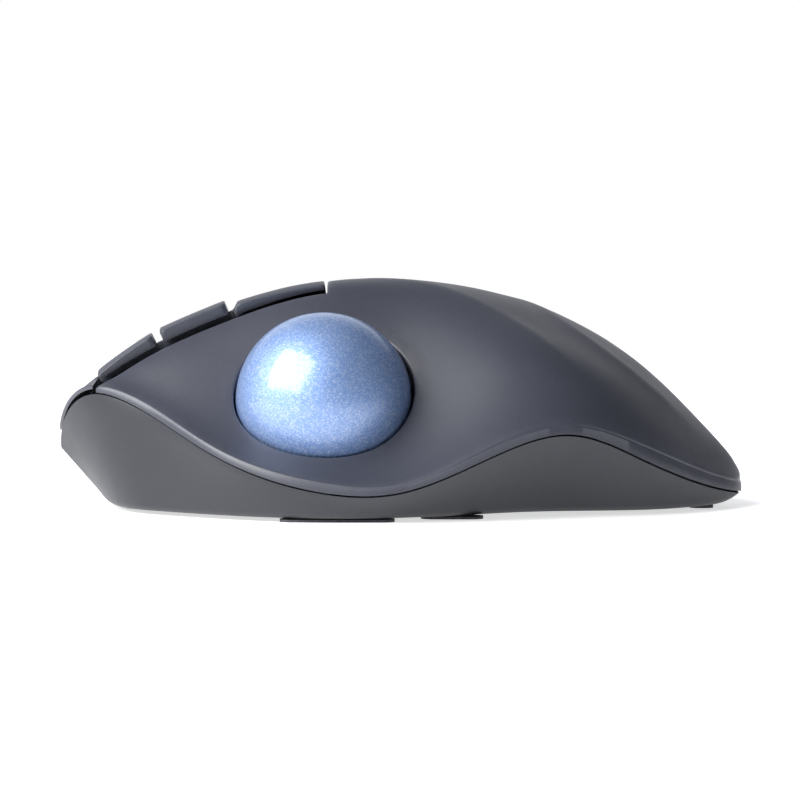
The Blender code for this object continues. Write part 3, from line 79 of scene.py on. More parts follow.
def add(tree, kind, inputs=None, **settings):
    """Adds a node. inputs gives its sockets a value, or a link from another node's socket."""
    made = tree.nodes.new("ShaderNode" + kind)
    for key, value in settings.items():
        setattr(made, key, value)
    for key, value in (inputs or {}).items():
        if isinstance(value, bpy.types.NodeSocket):
            tree.links.new(value, made.inputs[key])
        else:
            made.inputs[key].default_value = value
    return made


studio = bpy.data.worlds.new("white_studio")
studio.use_nodes = True
tree = studio.node_tree
tree.nodes.clear()
place = add(tree, "TexCoord")
split = add(tree, "SeparateXYZ", {"Vector": place.outputs["Generated"]})
# Grey panels stand at the sides and dark ones on the camera's side. Only the back wall is left white, so
# the dark plastic keeps its tone and takes a bright line along its upper edge. The camera itself sees white
back_wall = add(tree, "MapRange", {"Value": split.outputs["Y"], "From Min": 0.5, "From Max": 0.98},
                interpolation_type="SMOOTHSTEP")
open_side = add(tree, "MapRange", {"Value": split.outputs["Y"], "From Min": 0.0, "From Max": -0.9},
                interpolation_type="SMOOTHSTEP")
right_side = add(tree, "MapRange", {"Value": split.outputs["X"], "From Min": -0.6, "From Max": 0.5},
                 interpolation_type="SMOOTHSTEP")
sides = add(tree, "Mix", {"Factor": right_side.outputs["Result"], "A": linear("#7c7f89"),
                          "B": linear("#3f424b")}, data_type="RGBA")
walls = add(tree, "Mix", {"Factor": back_wall.outputs["Result"], "A": sides.outputs["Result"],
                          "B": linear("#f4f6fa")}, data_type="RGBA")
room = add(tree, "Mix", {"Factor": open_side.outputs["Result"], "A": walls.outputs["Result"],
                         "B": linear("#2a2c31")}, data_type="RGBA")
ray = add(tree, "LightPath")
seen = add(tree, "Mix", {"Factor": ray.outputs["Is Camera Ray"], "A": room.outputs["Result"],
                         "B": (1.0, 1.0, 1.0, 1.0)}, data_type="RGBA")
glow = add(tree, "Background", {"Color": seen.outputs["Result"], "Strength": 1.0})
add(tree, "OutputWorld", {"Surface": glow.outputs["Background"]})
scene.world = studio


LIGHT_PLACE = Vector((-0.66, -0.46, 0.62))
LIGHT_AIM = Vector((-0.02, -0.02, 0.025))
LIGHT_WIDTH, LIGHT_HEIGHT = 0.95, 0.85
LIGHT_WATTS = 22.0
lamp = bpy.data.lights.new("left_softbox", "AREA")
lamp.shape = "RECTANGLE"
lamp.size, lamp.size_y = LIGHT_WIDTH, LIGHT_HEIGHT
lamp.energy = LIGHT_WATTS
softbox = bpy.data.objects.new("left_softbox", lamp)
softbox.location = LIGHT_PLACE
softbox.rotation_euler = (LIGHT_AIM - LIGHT_PLACE).to_track_quat("-Z", "Y").to_euler()
scene.collection.objects.link(softbox)

FLOOR_RADIUS = 0.6
FLOOR_SIDES = 64
floor_mesh = bmesh.new()
floor_angles = [2 * math.pi * k / FLOOR_SIDES for k in range(FLOOR_SIDES)]
floor_mesh.faces.new([floor_mesh.verts.new((FLOOR_RADIUS * math.cos(a), FLOOR_RADIUS * math.sin(a), 0.0))
                      for a in floor_angles])
floor_data = bpy.data.meshes.new("light_table")
floor_mesh.to_mesh(floor_data)
floor_mesh.free()
floor = bpy.data.objects.new("light_table", floor_data)
scene.collection.objects.link(floor)
# Opal acrylic sheet, satin, lit from below as well as above, so that shadows on it are faint
acrylic = bpy.data.materials.new("opal_acrylic_satin")
acrylic.use_nodes = True
tree = acrylic.node_tree
tree.nodes.clear()
skin = add(tree, "BsdfPrincipled", {"Base Color": linear("#f9fafb"), "Roughness": 0.6, "IOR": 1.49,
                                    "Specular IOR Level": 0.15, "Emission Color": linear("#ffffff"),
                                    "Emission Strength": 0.62})
# Seen from below, the sheet lets the underside show
clear = add(tree, "BsdfTransparent")
side = add(tree, "NewGeometry")
both = add(tree, "MixShader", {0: side.outputs["Backfacing"], 1: skin.outputs["BSDF"],
                               2: clear.outputs["BSDF"]})
add(tree, "OutputMaterial", {"Surface": both.outputs["Shader"]})
floor_data.materials.append(acrylic)

# ---------------------------------------------------------------- top shell
# One piece of ABS, injection moulded in a spark-eroded tool: it is the thumb rest, the
# palm and the finger side in one. Screws from below hold it to the base.

LENGTH = 134.0
WALL = 2.0
GAP = 0.3
SEAM = 0.6
BASE_Z = 0.8
BALL_RADIUS = 17.0
BALL_CENTRE = Vector((-14.7, -27.5, 22.4))
BALL_AXIS = Vector((0.0, -math.cos(math.radians(46)), math.sin(math.radians(46))))
OPENING_RADIUS = BALL_RADIUS + 0.4
HINGE_X = -14.8
FRONT_TIP = (2.0, 13.0)
REAR_TIP = (0.0, 4.7)
# The surface's rails end this far short of the tips, and neighbouring rails stay this far apart
TIP_ROOM = 0.02
RAIL_ROOM = 0.05
# At each station along the length, nine rails from the thumb side's lip over to the other:
# the place across and the height, the heights drawn for a body 45 mm high
HEIGHT_SCALE = 44.3 / 45.0
STATIONS = (
    (-60.0, ((-19.3, 25.0), (-16.0, 25.2), (-12.5, 25.4), (-9.0, 25.4), (-2.0, 25.1), (8.0, 24.4),
             (17.0, 22.6), (23.0, 20.1), (27.0, 16.8))),
    (-48.0, ((-28.5, 21.4), (-24.0, 24.6), (-17.5, 30.4), (-13.5, 32.2), (-4.0, 32.2), (9.0, 31.0),
             (22.0, 26.8), (32.0, 20.8), (38.5, 13.5))),
    (-34.0, ((-42.0, 13.6), (-35.0, 17.6), (-20.0, 32.0), (-12.5, 38.0), (-4.0, 38.6), (10.0, 37.2),
             (26.0, 31.6), (38.0, 23.0), (45.0, 12.5))),
    (-15.0, ((-49.0, 8.0), (-42.0, 12.8), (-25.0, 28.8), (-10.5, 43.6), (0.0, 44.4), (11.0, 42.3),
             (28.0, 35.5), (41.0, 25.0), (49.0, 12.0))),
    (0.0, ((-50.0, 7.7), (-42.5, 12.6), (-25.0, 29.2), (-10.5, 43.6), (0.0, 45.2), (11.0, 43.6),
           (28.0, 36.5), (41.0, 25.5), (50.0, 11.5))),
    (18.0, ((-46.2, 15.2), (-39.5, 21.0), (-30.0, 31.0), (-16.0, 39.6), (-3.0, 42.6), (10.0, 41.3),
            (27.0, 34.3), (40.0, 24.0), (48.7, 10.8))),
    (32.0, ((-41.0, 18.9), (-36.5, 23.0), (-31.0, 28.3), (-18.5, 34.0), (-4.0, 37.5), (9.0, 36.6),
            (23.0, 31.0), (35.5, 21.5), (43.7, 10.0))),
    (46.0, ((-32.0, 14.6), (-28.5, 18.4), (-25.0, 21.2), (-17.0, 25.4), (-4.0, 29.1), (7.0, 28.4),
            (18.0, 24.3), (28.0, 16.8), (35.0, 8.7))),
    (58.0, ((-17.5, 8.6), (-15.0, 11.0), (-12.5, 13.0), (-8.5, 15.5), (-2.0, 17.7), (4.0, 17.5),
            (10.5, 16.2), (16.5, 12.0), (21.0, 7.2))),
)
STRIP = ((-67.0, 1.3), (-60.0, 1.5), (-48.0, 1.8), (-34.0, 1.8), (-15.0, 2.0), (0.0, 1.7), (18.0, 2.3),
         (32.0, 2.2), (46.0, 2.9), (58.0, 2.8), (67.0, 2.0))
EDGE = ((-60.0, -19.0), (-48.0, -15.9), (-34.0, -13.4), (-14.8, -11.4))
THUMB_TIP_X = -58.9
RIGHT_EDGE = ((-59.0, 27.0), (-50.0, 27.5), (-34.0, 27.5), (-14.8, 28.5))
RIGHT_TIP_X = -57.5
# Outlines that meet at a front corner stop this far short of it, or twice as far
CORNER = 1.0


def natural_spline(knots, values):
    """A natural cubic through values at knots; values may hold several columns."""
    knots = np.asarray(knots, float)
    values = np.asarray(values, float)
    step = np.diff(knots)
    last = len(knots) - 1
    matrix = np.eye(last + 1)
    right = np.zeros_like(values)
    for i in range(1, last):
        matrix[i, i - 1:i + 2] = step[i - 1], 2 * (step[i - 1] + step[i]), step[i]
        after, before = (values[i + 1] - values[i]) / step[i], (values[i] - values[i - 1]) / step[i - 1]
        right[i] = 6 * (after - before)
    bend = np.linalg.solve(matrix, right.reshape(last + 1, -1)).reshape(values.shape)

    def at(place):
        place = np.asarray(place, float)
        i = np.clip(np.searchsorted(knots, place, side="right") - 1, 0, last - 1)
        shape = place.shape + (1,) * (values.ndim - 1)
        after = (place - knots[i]).reshape(shape)
        before = (knots[i + 1] - place).reshape(shape)
        h = step[i].reshape(shape)
        return ((bend[i] * before**3 + bend[i + 1] * after**3) / (6 * h)
                + (values[i] / h - bend[i] * h / 6) * before
                + (values[i + 1] / h - bend[i + 1] * h / 6) * after)

    return at


def angle_along(x, half=LENGTH / 2):
    """The angle whose cosine gives the place along the length."""
    return np.arccos(np.clip(-np.asarray(x, float) / half, -1, 1))


tips = [np.tile(tip, (9, 1)) for tip in (FRONT_TIP, REAR_TIP)]
rails = np.array([tips[0]] + [rails for _, rails in STATIONS] + [tips[1]]) * (1.0, HEIGHT_SCALE)
RAILS = natural_spline([0.0] + [float(angle_along(x)) for x, _ in STATIONS] + [math.pi], rails)
STRIP_AT = natural_spline([float(angle_along(x)) for x, _ in STRIP], [h for _, h in STRIP])
EDGE_AT = natural_spline(*zip(*EDGE))
RIGHT_EDGE_AT = natural_spline(*zip(*RIGHT_EDGE))


def rails_at(x):
    return RAILS(angle_along(x))


def lip_y(x, side):
    return rails_at(x)[..., 0 if side < 0 else -1, 0]


def distance_to(points, loop, closed=True):
    nearest = np.full(len(points), 1e9)
    ends = np.roll(loop, -1, axis=0) if closed else loop[1:]
    for start, end in zip(loop, ends):
        along = end - start
        share = np.clip(((points - start) @ along) / max(along @ along, 1e-12), 0, 1)
        nearest = np.minimum(nearest, np.linalg.norm(points - start - share[:, None] * along, axis=1))
    return nearest


# Two soft crests run down the palm from the top: points of their lines in plan, how high they
# stand, and how wide they are
CREST_LINES = (
    (((-8.0, -3.5), (6.0, -8.1), (13.8, -12.8), (23.6, -20.8), (31.5, -27.0), (36.0, -30.0)), 0.65, 3.2),
    (((19.0, 6.0), (25.0, 0.4), (29.5, -5.8), (35.4, -10.9), (41.3, -13.7), (48.1, -13.9),
      (55.0, -10.9), (61.5, -6.2)), 0.75, 2.8),
)
CREST_POINTS = 50
CREST_START, CREST_END = 14.0, 10.0
CREST_ROUND = 0.5
CRESTS = []
for line, tall, reach in CREST_LINES:
    along = np.linspace(line[0][0], line[-1][0], CREST_POINTS)
    curve = natural_spline([x for x, _ in line], [y for _, y in line])
    CRESTS.append((np.column_stack((along, curve(along))), tall, reach))


def crest(x, y):
    """How far the two crests raise the surface: each falls away to nothing on both sides and ends."""
    raised = np.zeros(len(x))
    for line, tall, reach in CRESTS:
        start, end = line[0, 0], line[-1, 0]
        share = np.interp(x, (start, start + CREST_START, end - CREST_END, end), (0.0, 1.0, 1.0, 0.0))
        near = np.sqrt(distance_to(np.column_stack((x, y)), line, closed=False)**2 + CREST_ROUND**2)
        raised += tall * share * np.exp(-near / reach)
    return raised


def height(x, y):
    """Height of the body's upper surface over points of the plan."""
    x = np.clip(np.atleast_1d(np.asarray(x, float)), TIP_ROOM - LENGTH / 2, LENGTH / 2 - TIP_ROOM)
    y = np.atleast_1d(np.asarray(y, float))
    rails = rails_at(x)
    at, value = rails[..., 0], rails[..., 1]
    count = at.shape[1]
    step = np.maximum(np.diff(at, axis=1), RAIL_ROOM)
    matrix = np.zeros((len(x), count, count))
    right = np.zeros((len(x), count))
    matrix[:, 0, 0] = 1
    matrix[:, -1, -1] = 1
    slope = np.diff(value, axis=1) / step
    for i in range(1, count - 1):
        matrix[:, i, i - 1] = step[:, i - 1]
        matrix[:, i, i] = 2 * (step[:, i - 1] + step[:, i])
        matrix[:, i, i + 1] = step[:, i]
        right[:, i] = 6 * (slope[:, i] - slope[:, i - 1])
    bend = np.linalg.solve(matrix, right[..., None])[..., 0]
    row = np.arange(len(x))
    i = np.clip((y[:, None] >= at).sum(axis=1) - 1, 0, count - 2)
    inside = np.clip(y, at[:, 0], at[:, -1])
    after = inside - at[row, i]
    before = at[row, i + 1] - inside
    h = step[row, i]
    return crest(x, y) + ((bend[row, i] * before**3 + bend[row, i + 1] * after**3) / (6 * h)
                          + (value[row, i] / h - bend[row, i] * h / 6) * before
                          + (value[row, i + 1] / h - bend[row, i + 1] * h / 6) * after)


def normal(x, y):
    """Unit normals of the upper surface."""
    reach = 0.4
    x = np.atleast_1d(np.asarray(x, float))
    y = np.atleast_1d(np.asarray(y, float))
    half = LENGTH / 2
    x0, x1 = np.maximum(x - reach, TIP_ROOM - half), np.minimum(x + reach, half - TIP_ROOM)
    low, high = lip_y(x, -1), lip_y(x, 1)
    y0, y1 = np.maximum(y - reach, low), np.minimum(y + reach, high)
    middle = np.clip(y, low, high)
    dx = (height(x1, middle) - height(x0, middle)) / (x1 - x0)
    dy = (height(x, y1) - height(x, y0)) / np.maximum(y1 - y0, 0.01)
    found = np.stack((-dx, -dy, np.ones_like(dx)), axis=1)
    return found / np.linalg.norm(found, axis=1)[:, None]


def rim_height(x, side):
    """Height of the seam between the two shells."""
    lip = rails_at(x)[..., 0 if side < 0 else -1, 1]
    return lip - STRIP_AT(angle_along(x))


def inward(angle, side):
    """The direction in plan from the outline towards the middle."""
    step = 0.02
    if angle < step or angle > math.pi - step:
        return np.array((1.0 if angle < math.pi / 2 else -1.0, 0.0))
    ends = np.array((angle - step, angle + step))
    line_x = -(LENGTH / 2) * np.cos(ends)
    line_y = RAILS(ends)[:, 0 if side < 0 else -1, 0]
    way = np.array((line_y[0] - line_y[1], line_x[1] - line_x[0])) * -side
    return way / np.linalg.norm(way)


def outline(start_x, end_x, side, count, inset=0.0):
    """Points along the body's outline on one side, evenly spread in angle."""
    angles = np.linspace(angle_along(start_x), angle_along(end_x), count)
    line = np.stack((-(LENGTH / 2) * np.cos(angles), RAILS(angles)[:, 0 if side < 0 else -1, 0]), axis=1)
    return line + inset * np.array([inward(angle, side) for angle in angles])


def along_edge(line, start_x, end_x, count, shift=0.0):
    x = np.linspace(start_x, end_x, count)
    return np.stack((x, line(x) + shift), axis=1)


def across(x, start_y, end_y, count):
    """Points square to the length, without the two ends."""
    y = np.linspace(start_y, end_y, count + 2)[1:-1]
    return np.stack((np.full(count, x), y), axis=1)


def inside(points, loop):
    """Which points lie inside a closed plan outline."""
    found = np.zeros(len(points), bool)
    x, y = points[:, 0], points[:, 1]
    for (x0, y0), (x1, y1) in zip(loop, np.roll(loop, -1, axis=0)):
        crosses = (y0 > y) != (y1 > y)
        if y0 != y1:
            found ^= crosses & (x < (x1 - x0) * (y - y0) / (y1 - y0) + x0)
    return found


def turning(loop):
    """Positive for a closed outline that runs anticlockwise."""
    after = np.roll(loop, -1, axis=0)
    return (loop[:, 0] * after[:, 1] - loop[:, 1] * after[:, 0]).sum()


def inset_points(loop, by):
    """A border loop's points moved to the side that the plate lies on, less any that crowd it."""
    crowded = 0.85
    along = np.roll(loop, -1, axis=0) - np.roll(loop, 1, axis=0)
    way = np.stack((-along[:, 1], along[:, 0]), axis=1)
    moved = loop + by * way / np.linalg.norm(way, axis=1)[:, None]
    return moved[distance_to(moved, loop) > crowded * by]


def lip_feet(point):
    """The lower corners of the lip's upright strip, for a point on the outline."""
    x, y = point
    side = -1 if y < rails_at(x)[4, 0] else 1
    if abs(y - lip_y(x, side)) > 1e-3:
        return None
    foot = float(rim_height(x, side)) + GAP
    middle = np.array(point) + WALL * inward(float(angle_along(x)), side)
    return (x, y, foot), (middle[0], middle[1], foot)


def smooth_object(name, mesh, sharp=38):
    """An object from a bmesh in millimetres, shaded smooth but for its sharp edges."""
    bmesh.ops.scale(mesh, verts=mesh.verts, vec=(MM, MM, MM))
    data = bpy.data.meshes.new(name)
    mesh.to_mesh(data)
    mesh.free()
    data.shade_smooth()
    data.set_sharp_from_angle(angle=math.radians(sharp))
    made = bpy.data.objects.new(name, data)
    scene.collection.objects.link(made)
    return made


# A plate's points lie on a triangular grid, its rows this share of the spacing apart, and the
# first of them this share of it in from the rounded border. Rings of points carry the rounding,
# at these shares of its radius. The border's rubbed edge fades out over so many radii, and
# points closer than the last value are joined
ROW_STEP = 0.866
GRID_START = 0.6
ROUND_STEPS = (0.08, 0.3, 0.62, 1.05)
RUBBED_REACH = 2.5
WELD = 1e-7


def plate(name, loops, proud, under, spacing, radius, lip=False, hole_axis=None):
    """A plate that follows the body's surface over a plan outline, its upper edges rounded. proud
    and under are its faces' distances above the surface, as numbers or as rules of x and y."""
    loops = [loop if (turning(loop) > 0) == (k == 0) else loop[::-1] for k, loop in enumerate(loops)]
    low, high = loops[0].min(axis=0), loops[0].max(axis=0)
    rows = np.arange(low[1], high[1], spacing * ROW_STEP)
    spots = np.array([(x + spacing / 2 * (k % 2), y) for k, y in enumerate(rows)
                      for x in np.arange(low[0], high[0], spacing)])
    border = np.concatenate(loops)
    rounds = np.concatenate([inset_points(loop, step * radius) for step in ROUND_STEPS for loop in loops])
    for loop in loops:
        spots = spots[distance_to(spots, loop) > GRID_START * spacing + radius]
    points = np.concatenate((border, rounds, spots))
    solid = inside(points, loops[0])
    for loop in loops[1:]:
        solid &= ~inside(points, loop)
    solid[:len(border)] = True
    points = points[solid]
    edges = []
    start = 0
    for loop in loops:
        edges += [(start + i, start + (i + 1) % len(loop)) for i in range(len(loop))]
        start += len(loop)
    found = delaunay_2d_cdt([Vector(p) for p in points], edges, [], 0, WELD)
    triangles = np.array(found[2])
    middles = points[triangles].mean(axis=1)
    keep = inside(middles, loops[0])
    for loop in loops[1:]:
        keep &= ~inside(middles, loop)
    triangles = triangles[keep]
    near = np.minimum.reduce([distance_to(points, loop) for loop in loops])
    near[:len(border)] = 0.0
    short = np.clip(radius - near, 0.0, radius)
    drop = radius - np.sqrt(radius**2 - short**2)
    way = normal(points[:, 0], points[:, 1])
    surface = np.column_stack((points, height(points[:, 0], points[:, 1])))
    top, low = [rule(*points.T) if callable(rule) else np.full(len(points), rule) for rule in (proud, under)]
    outer = surface + (top - drop)[:, None] * way
    inner = surface + low[:, None] * way
    if hole_axis is not None:
        rim = slice(len(loops[0]), len(border))
        inner[rim] = outer[rim] - (WALL - radius) * np.array(hole_axis)
    feet = {}
    if lip:
        feet = {i: found for i in range(len(border)) if (found := lip_feet(points[i]))}
        for i in feet:
            outer[i] = (*points[i], surface[i, 2] - radius)
    mesh = bmesh.new()
    edge = mesh.verts.layers.float.new("edge")
    tops = [mesh.verts.new(p) for p in outer]
    bottoms = [mesh.verts.new(feet[i][1] if i in feet else inner[i]) for i in range(len(points))]
    lows = {i: mesh.verts.new(pair[0]) for i, pair in feet.items()}
    for vert, close in zip(tops, near):
        vert[edge] = max(0.0, 1.0 - close / (RUBBED_REACH * radius))
    for a, b, c in triangles:
        mesh.faces.new((tops[a], tops[b], tops[c]))
        mesh.faces.new((bottoms[c], bottoms[b], bottoms[a]))
    for a, b in edges:
        if a in lows and b in lows:
            mesh.faces.new((tops[b], tops[a], lows[a], lows[b]))
            mesh.faces.new((lows[b], lows[a], bottoms[a], bottoms[b]))
            continue
        wall = [tops[b], tops[a], lows.get(a), bottoms[a], bottoms[b], lows.get(b)]
        mesh.faces.new([corner for corner in wall if corner])
    return smooth_object(name, mesh)


def ball_opening(radius, count):
    """Plan outline of where a cylinder on the ball's axis meets the body's surface, by halving the
    span of the axis that holds the meeting."""
    span, halvings = (-8.0, 14.0), 40
    turn = BALL_AXIS.to_track_quat("Z", "Y").to_matrix()
    angles = np.linspace(0, 2 * math.pi, count, endpoint=False)
    ring = np.array([BALL_CENTRE + turn @ Vector((radius * math.cos(a), radius * math.sin(a), 0))
                     for a in angles])
    low, high = [np.full(count, end) for end in span]
    for _ in range(halvings):
        middle = (low + high) / 2
        spots = ring + middle[:, None] * np.array(BALL_AXIS)
        above = spots[:, 2] > height(spots[:, 0], spots[:, 1])
        high = np.where(above, middle, high)
        low = np.where(above, low, middle)
    return (ring + low[:, None] * np.array(BALL_AXIS))[:, :2]


rear = HINGE_X + SEAM
shell_loop = np.concatenate((
    outline(THUMB_TIP_X, LENGTH / 2, -1, 220),
    outline(LENGTH / 2, RIGHT_TIP_X, 1, 200)[1:],
    along_edge(RIGHT_EDGE_AT, RIGHT_TIP_X, rear, 44, SEAM),
    across(rear, RIGHT_EDGE_AT(rear) + SEAM, EDGE_AT(rear), 38),
    along_edge(EDGE_AT, rear, THUMB_TIP_X + CORNER, 44),
))
top_shell = plate("top_shell_moulding", [shell_loop, ball_opening(OPENING_RADIUS, 150)], 0.0, -WALL,
                  spacing=1.15, radius=0.45, lip=True, hole_axis=BALL_AXIS)


def moulded(name, colour, pale, roughness, grain, depth):
    """Injection-moulded plastic with an eroded grain. grain is its size and depth its height, in mm."""
    made = bpy.data.materials.new(name)
    made.use_nodes = True
    tree = made.node_tree
    tree.nodes.clear()
    place = add(tree, "TexCoord").outputs["Object"]
    pits = add(tree, "TexNoise", {"Vector": place, "Scale": 1000 / grain, "Detail": 3.0, "Roughness": 0.6})
    # Flow and cooling leave broad, faint differences of tone, about 20 mm across
    broad = add(tree, "TexNoise", {"Vector": place, "Scale": 1000 / 20, "Detail": 2.0})
    # Fingers leave patches of gloss, about 4 mm across, and rub the edges paler and smoother
    fingers = add(tree, "TexNoise", {"Vector": place, "Scale": 1000 / 4, "Detail": 4.0})
    soft = add(tree, "Math", {0: broad.outputs["Fac"], 1: 0.3}, operation="MULTIPLY")
    tone = add(tree, "Math", {0: pits.outputs["Fac"], 1: soft.outputs["Value"]}, operation="ADD")
    share = add(tree, "MapRange", {"Value": tone.outputs["Value"], "From Min": 0.35, "From Max": 0.95})
    body = add(tree, "Mix", {"Factor": share.outputs["Result"], "A": linear(colour), "B": linear(pale)},
               data_type="RGBA")
    edge = add(tree, "Attribute", attribute_name="edge")
    worn = add(tree, "Math", {0: edge.outputs["Fac"], 1: fingers.outputs["Fac"]}, operation="MULTIPLY")
    rubbed = add(tree, "Math", {0: worn.outputs["Value"], 1: 0.18}, operation="MULTIPLY")
    final = add(tree, "Mix", {"Factor": rubbed.outputs["Value"], "A": body.outputs["Result"],
                              "B": linear("#7d818b")}, data_type="RGBA")
    gloss = add(tree, "MapRange", {"Value": fingers.outputs["Fac"], "From Min": 0.3, "From Max": 0.7,
                                   "To Min": roughness - 0.015, "To Max": roughness + 0.02})
    polished = add(tree, "Math", {0: gloss.outputs["Result"], 1: rubbed.outputs["Value"]},
                   operation="SUBTRACT")
    relief = add(tree, "Bump", {"Strength": 0.5, "Distance": depth * MM, "Height": pits.outputs["Fac"]})
    skin = add(tree, "BsdfPrincipled", {"Base Color": final.outputs["Result"],
                                        "Roughness": polished.outputs["Value"],
                                        "Normal": relief.outputs["Normal"], "IOR": 1.53})
    add(tree, "OutputMaterial", {"Surface": skin.outputs["BSDF"]})
    return made


# ABS with a fine spark-eroded grain: matt, with a soft wide sheen. The grain is drawn at 0.4 mm,
# twice its real size, so that it shows
graphite_abs = moulded("abs_graphite_spark_eroded", "#34363f", "#3d3f4a", 0.44, 0.4, 0.03)
top_shell.data.materials.append(graphite_abs)
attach(top_shell, "case")
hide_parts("top_shell")

# ---------------------------------------------------------------- main buttons and side buttons
# Four separate keys of the same grained ABS, a little proud of the shell. The two long ones
# bend at their rear edge over the switches, and the two short ones sit beside the ball.

PROUD = 0.2
PLATE = 1.8
FORWARD_PROUD = (1.2, 2.4)
BACK_PROUD = (2.5, 2.4)
SIDE_LIFT = 0.2
SIDE_WIDTH = 6.0
EDGE_GAP = 2.0
EDGE_DEPTH = 0.6
NOSE_END_X = -54.0
SHOULDER_PROUD = 1.3
SHOULDER_FADE = 3.0
SHOULDER_NOSE = 1.8
SPLIT_Y = 8.0
FORWARD_X = (-58.2, -47.4)
BACK_X = (-45.8, -33.4)
WHEEL_X = -37.0
WHEEL_RADIUS = 10.0
WHEEL_WIDTH = 7.0
NOTCH_END, NOTCH_SIDE, NOTCH_SLANT = 1.0, 0.8, 1.5
NOSE_START = 0.4


def side_inner(x):
    """The line between the side buttons and the left button."""
    return EDGE_AT(x) + EDGE_GAP + SIDE_WIDTH


def dense(corners, spacing=0.9):
    """Straight runs between corners, with points along them."""
    corners = np.asarray(corners, float)
    run = [corners[0]]
    for start, end in zip(corners, corners[1:]):
        count = max(1, int(np.linalg.norm(end - start) / spacing))
        run += [start + (end - start) * k / count for k in range(1, count + 1)]
    return np.array(run)


def split_edge(side):
    """The inner edge of a main button along the split, with the wheel's notch, front to rear."""
    reach = WHEEL_RADIUS + NOTCH_END
    notch = SPLIT_Y + side * (WHEEL_WIDTH / 2 + NOTCH_SIDE)
    line = SPLIT_Y + side * SEAM / 2
    return dense([(WHEEL_X - reach - NOTCH_SLANT, line), (WHEEL_X - reach, notch), (WHEEL_X + reach, notch),
                  (WHEEL_X + reach + NOTCH_SLANT, line), (HINGE_X, line)])


def nose(side, end_x, count):
    """A main button's front edge, from the split round to where its side edge begins."""
    own = outline(-LENGTH / 2, end_x, side, count, PROUD)
    other = outline(-LENGTH / 2, end_x, -side, count, PROUD)
    line = np.concatenate((other[:0:-1], own))
    limit = SPLIT_Y + side * SEAM / 2
    start = np.interp(limit * side, line[:, 1] * side, line[:, 0])
    return np.concatenate((((start, limit),), line[(line[:, 1] - limit) * side > NOSE_START]))


side_start, side_end = FORWARD_X[0] - SEAM, BACK_X[1] + SEAM
left_loop = np.concatenate((
    nose(-1, side_start - CORNER, 40),
    along_edge(side_inner, side_start, side_end, 30, SEAM),
    along_edge(EDGE_AT, side_end + SEAM, HINGE_X, 22, EDGE_GAP),
    across(HINGE_X, EDGE_AT(HINGE_X) + EDGE_GAP, SPLIT_Y - SEAM / 2, 18),
    split_edge(-1)[::-1],
))
right_loop = np.concatenate((
    nose(1, RIGHT_TIP_X - 2 * CORNER, 40),
    along_edge(RIGHT_EDGE_AT, RIGHT_TIP_X, HINGE_X, 44),
    across(HINGE_X, RIGHT_EDGE_AT(HINGE_X), SPLIT_Y + SEAM / 2, 18),
    split_edge(1)[::-1],
))


def smooth(value):
    """Goes from 0 to 1 with no corner at either end."""
    value = np.clip(value, 0, 1)
    return value * value * (3 - 2 * value)


def shoulder(x, y):
    """How far a spot is on the left button's raised shoulder, behind the back button: 0 to 1."""
    beside = smooth((side_inner(x) + SHOULDER_FADE / 2 - y) / SHOULDER_FADE)
    return beside * smooth((x - side_end) / SHOULDER_NOSE)


def left_top(x, y):
    fall = np.clip((HINGE_X - x) / (HINGE_X - BACK_X[1]), 0, 1)
    return PROUD + SHOULDER_PROUD * fall * shoulder(x, y)


front_line = np.concatenate((outline(-LENGTH / 2, NOSE_END_X, -1, 40)[::-1],
                             outline(-LENGTH / 2, NOSE_END_X, 1, 40)))


def main_under(x, y):
    """The main buttons' underside: close to the surface at the thin front edge, then a full plate down."""
    deep = smooth((distance_to(np.column_stack((x, y)), front_line, closed=False) - WALL - SEAM) / WALL)
    return -EDGE_DEPTH - (PLATE - PROUD - EDGE_DEPTH) * deep


def left_under(x, y):
    thin = shoulder(x, y)
    return main_under(x, y) * (1 - thin) - EDGE_DEPTH * thin


keys = [("left_button", left_loop, left_top, left_under), ("right_button", right_loop, PROUD, main_under)]
for name, ends, proud in (("forward_button", FORWARD_X, FORWARD_PROUD), ("back_button", BACK_X, BACK_PROUD)):
    loop = np.concatenate((along_edge(EDGE_AT, *ends, 14, EDGE_GAP),
                           across(ends[1], EDGE_AT(ends[1]) + EDGE_GAP, side_inner(ends[1]), 6),
                           along_edge(side_inner, *ends[::-1], 14),
                           across(ends[0], side_inner(ends[0]), EDGE_AT(ends[0]) + EDGE_GAP, 6)))
    keys.append((name, loop, lambda x, y, ends=ends, proud=proud: np.interp(x, ends, proud), SIDE_LIFT))
for name, loop, proud, under in keys:
    key = plate(name + "_cap", [loop], proud, under, spacing=1.0, radius=0.3)
    key.data.materials.append(graphite_abs)
    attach(key, name)
    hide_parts(name)

# ---------------------------------------------------------------- ball
# A solid ball of cast polyester resin with pearl pigment in it, ground round and polished.
# Its surface is clear resin, so the pigment glitters under a hard gloss.

ball_mesh = bmesh.new()
bmesh.ops.create_uvsphere(ball_mesh, u_segments=128, v_segments=72, radius=BALL_RADIUS,
                          matrix=Matrix.Translation(BALL_CENTRE))
ball = smooth_object("pearl_ball", ball_mesh, sharp=180)
pearl = bpy.data.materials.new("polyester_pearl_polished")
pearl.use_nodes = True
tree = pearl.node_tree
tree.nodes.clear()
place = add(tree, "TexCoord").outputs["Object"]
# Mica flakes, about 0.1 mm in the real resin and drawn at 0.22 mm so that they show
flakes = add(tree, "TexVoronoi", {"Vector": place, "Scale": 1000 / 0.22})
tint = add(tree, "SeparateColor", {"Color": flakes.outputs["Color"]})
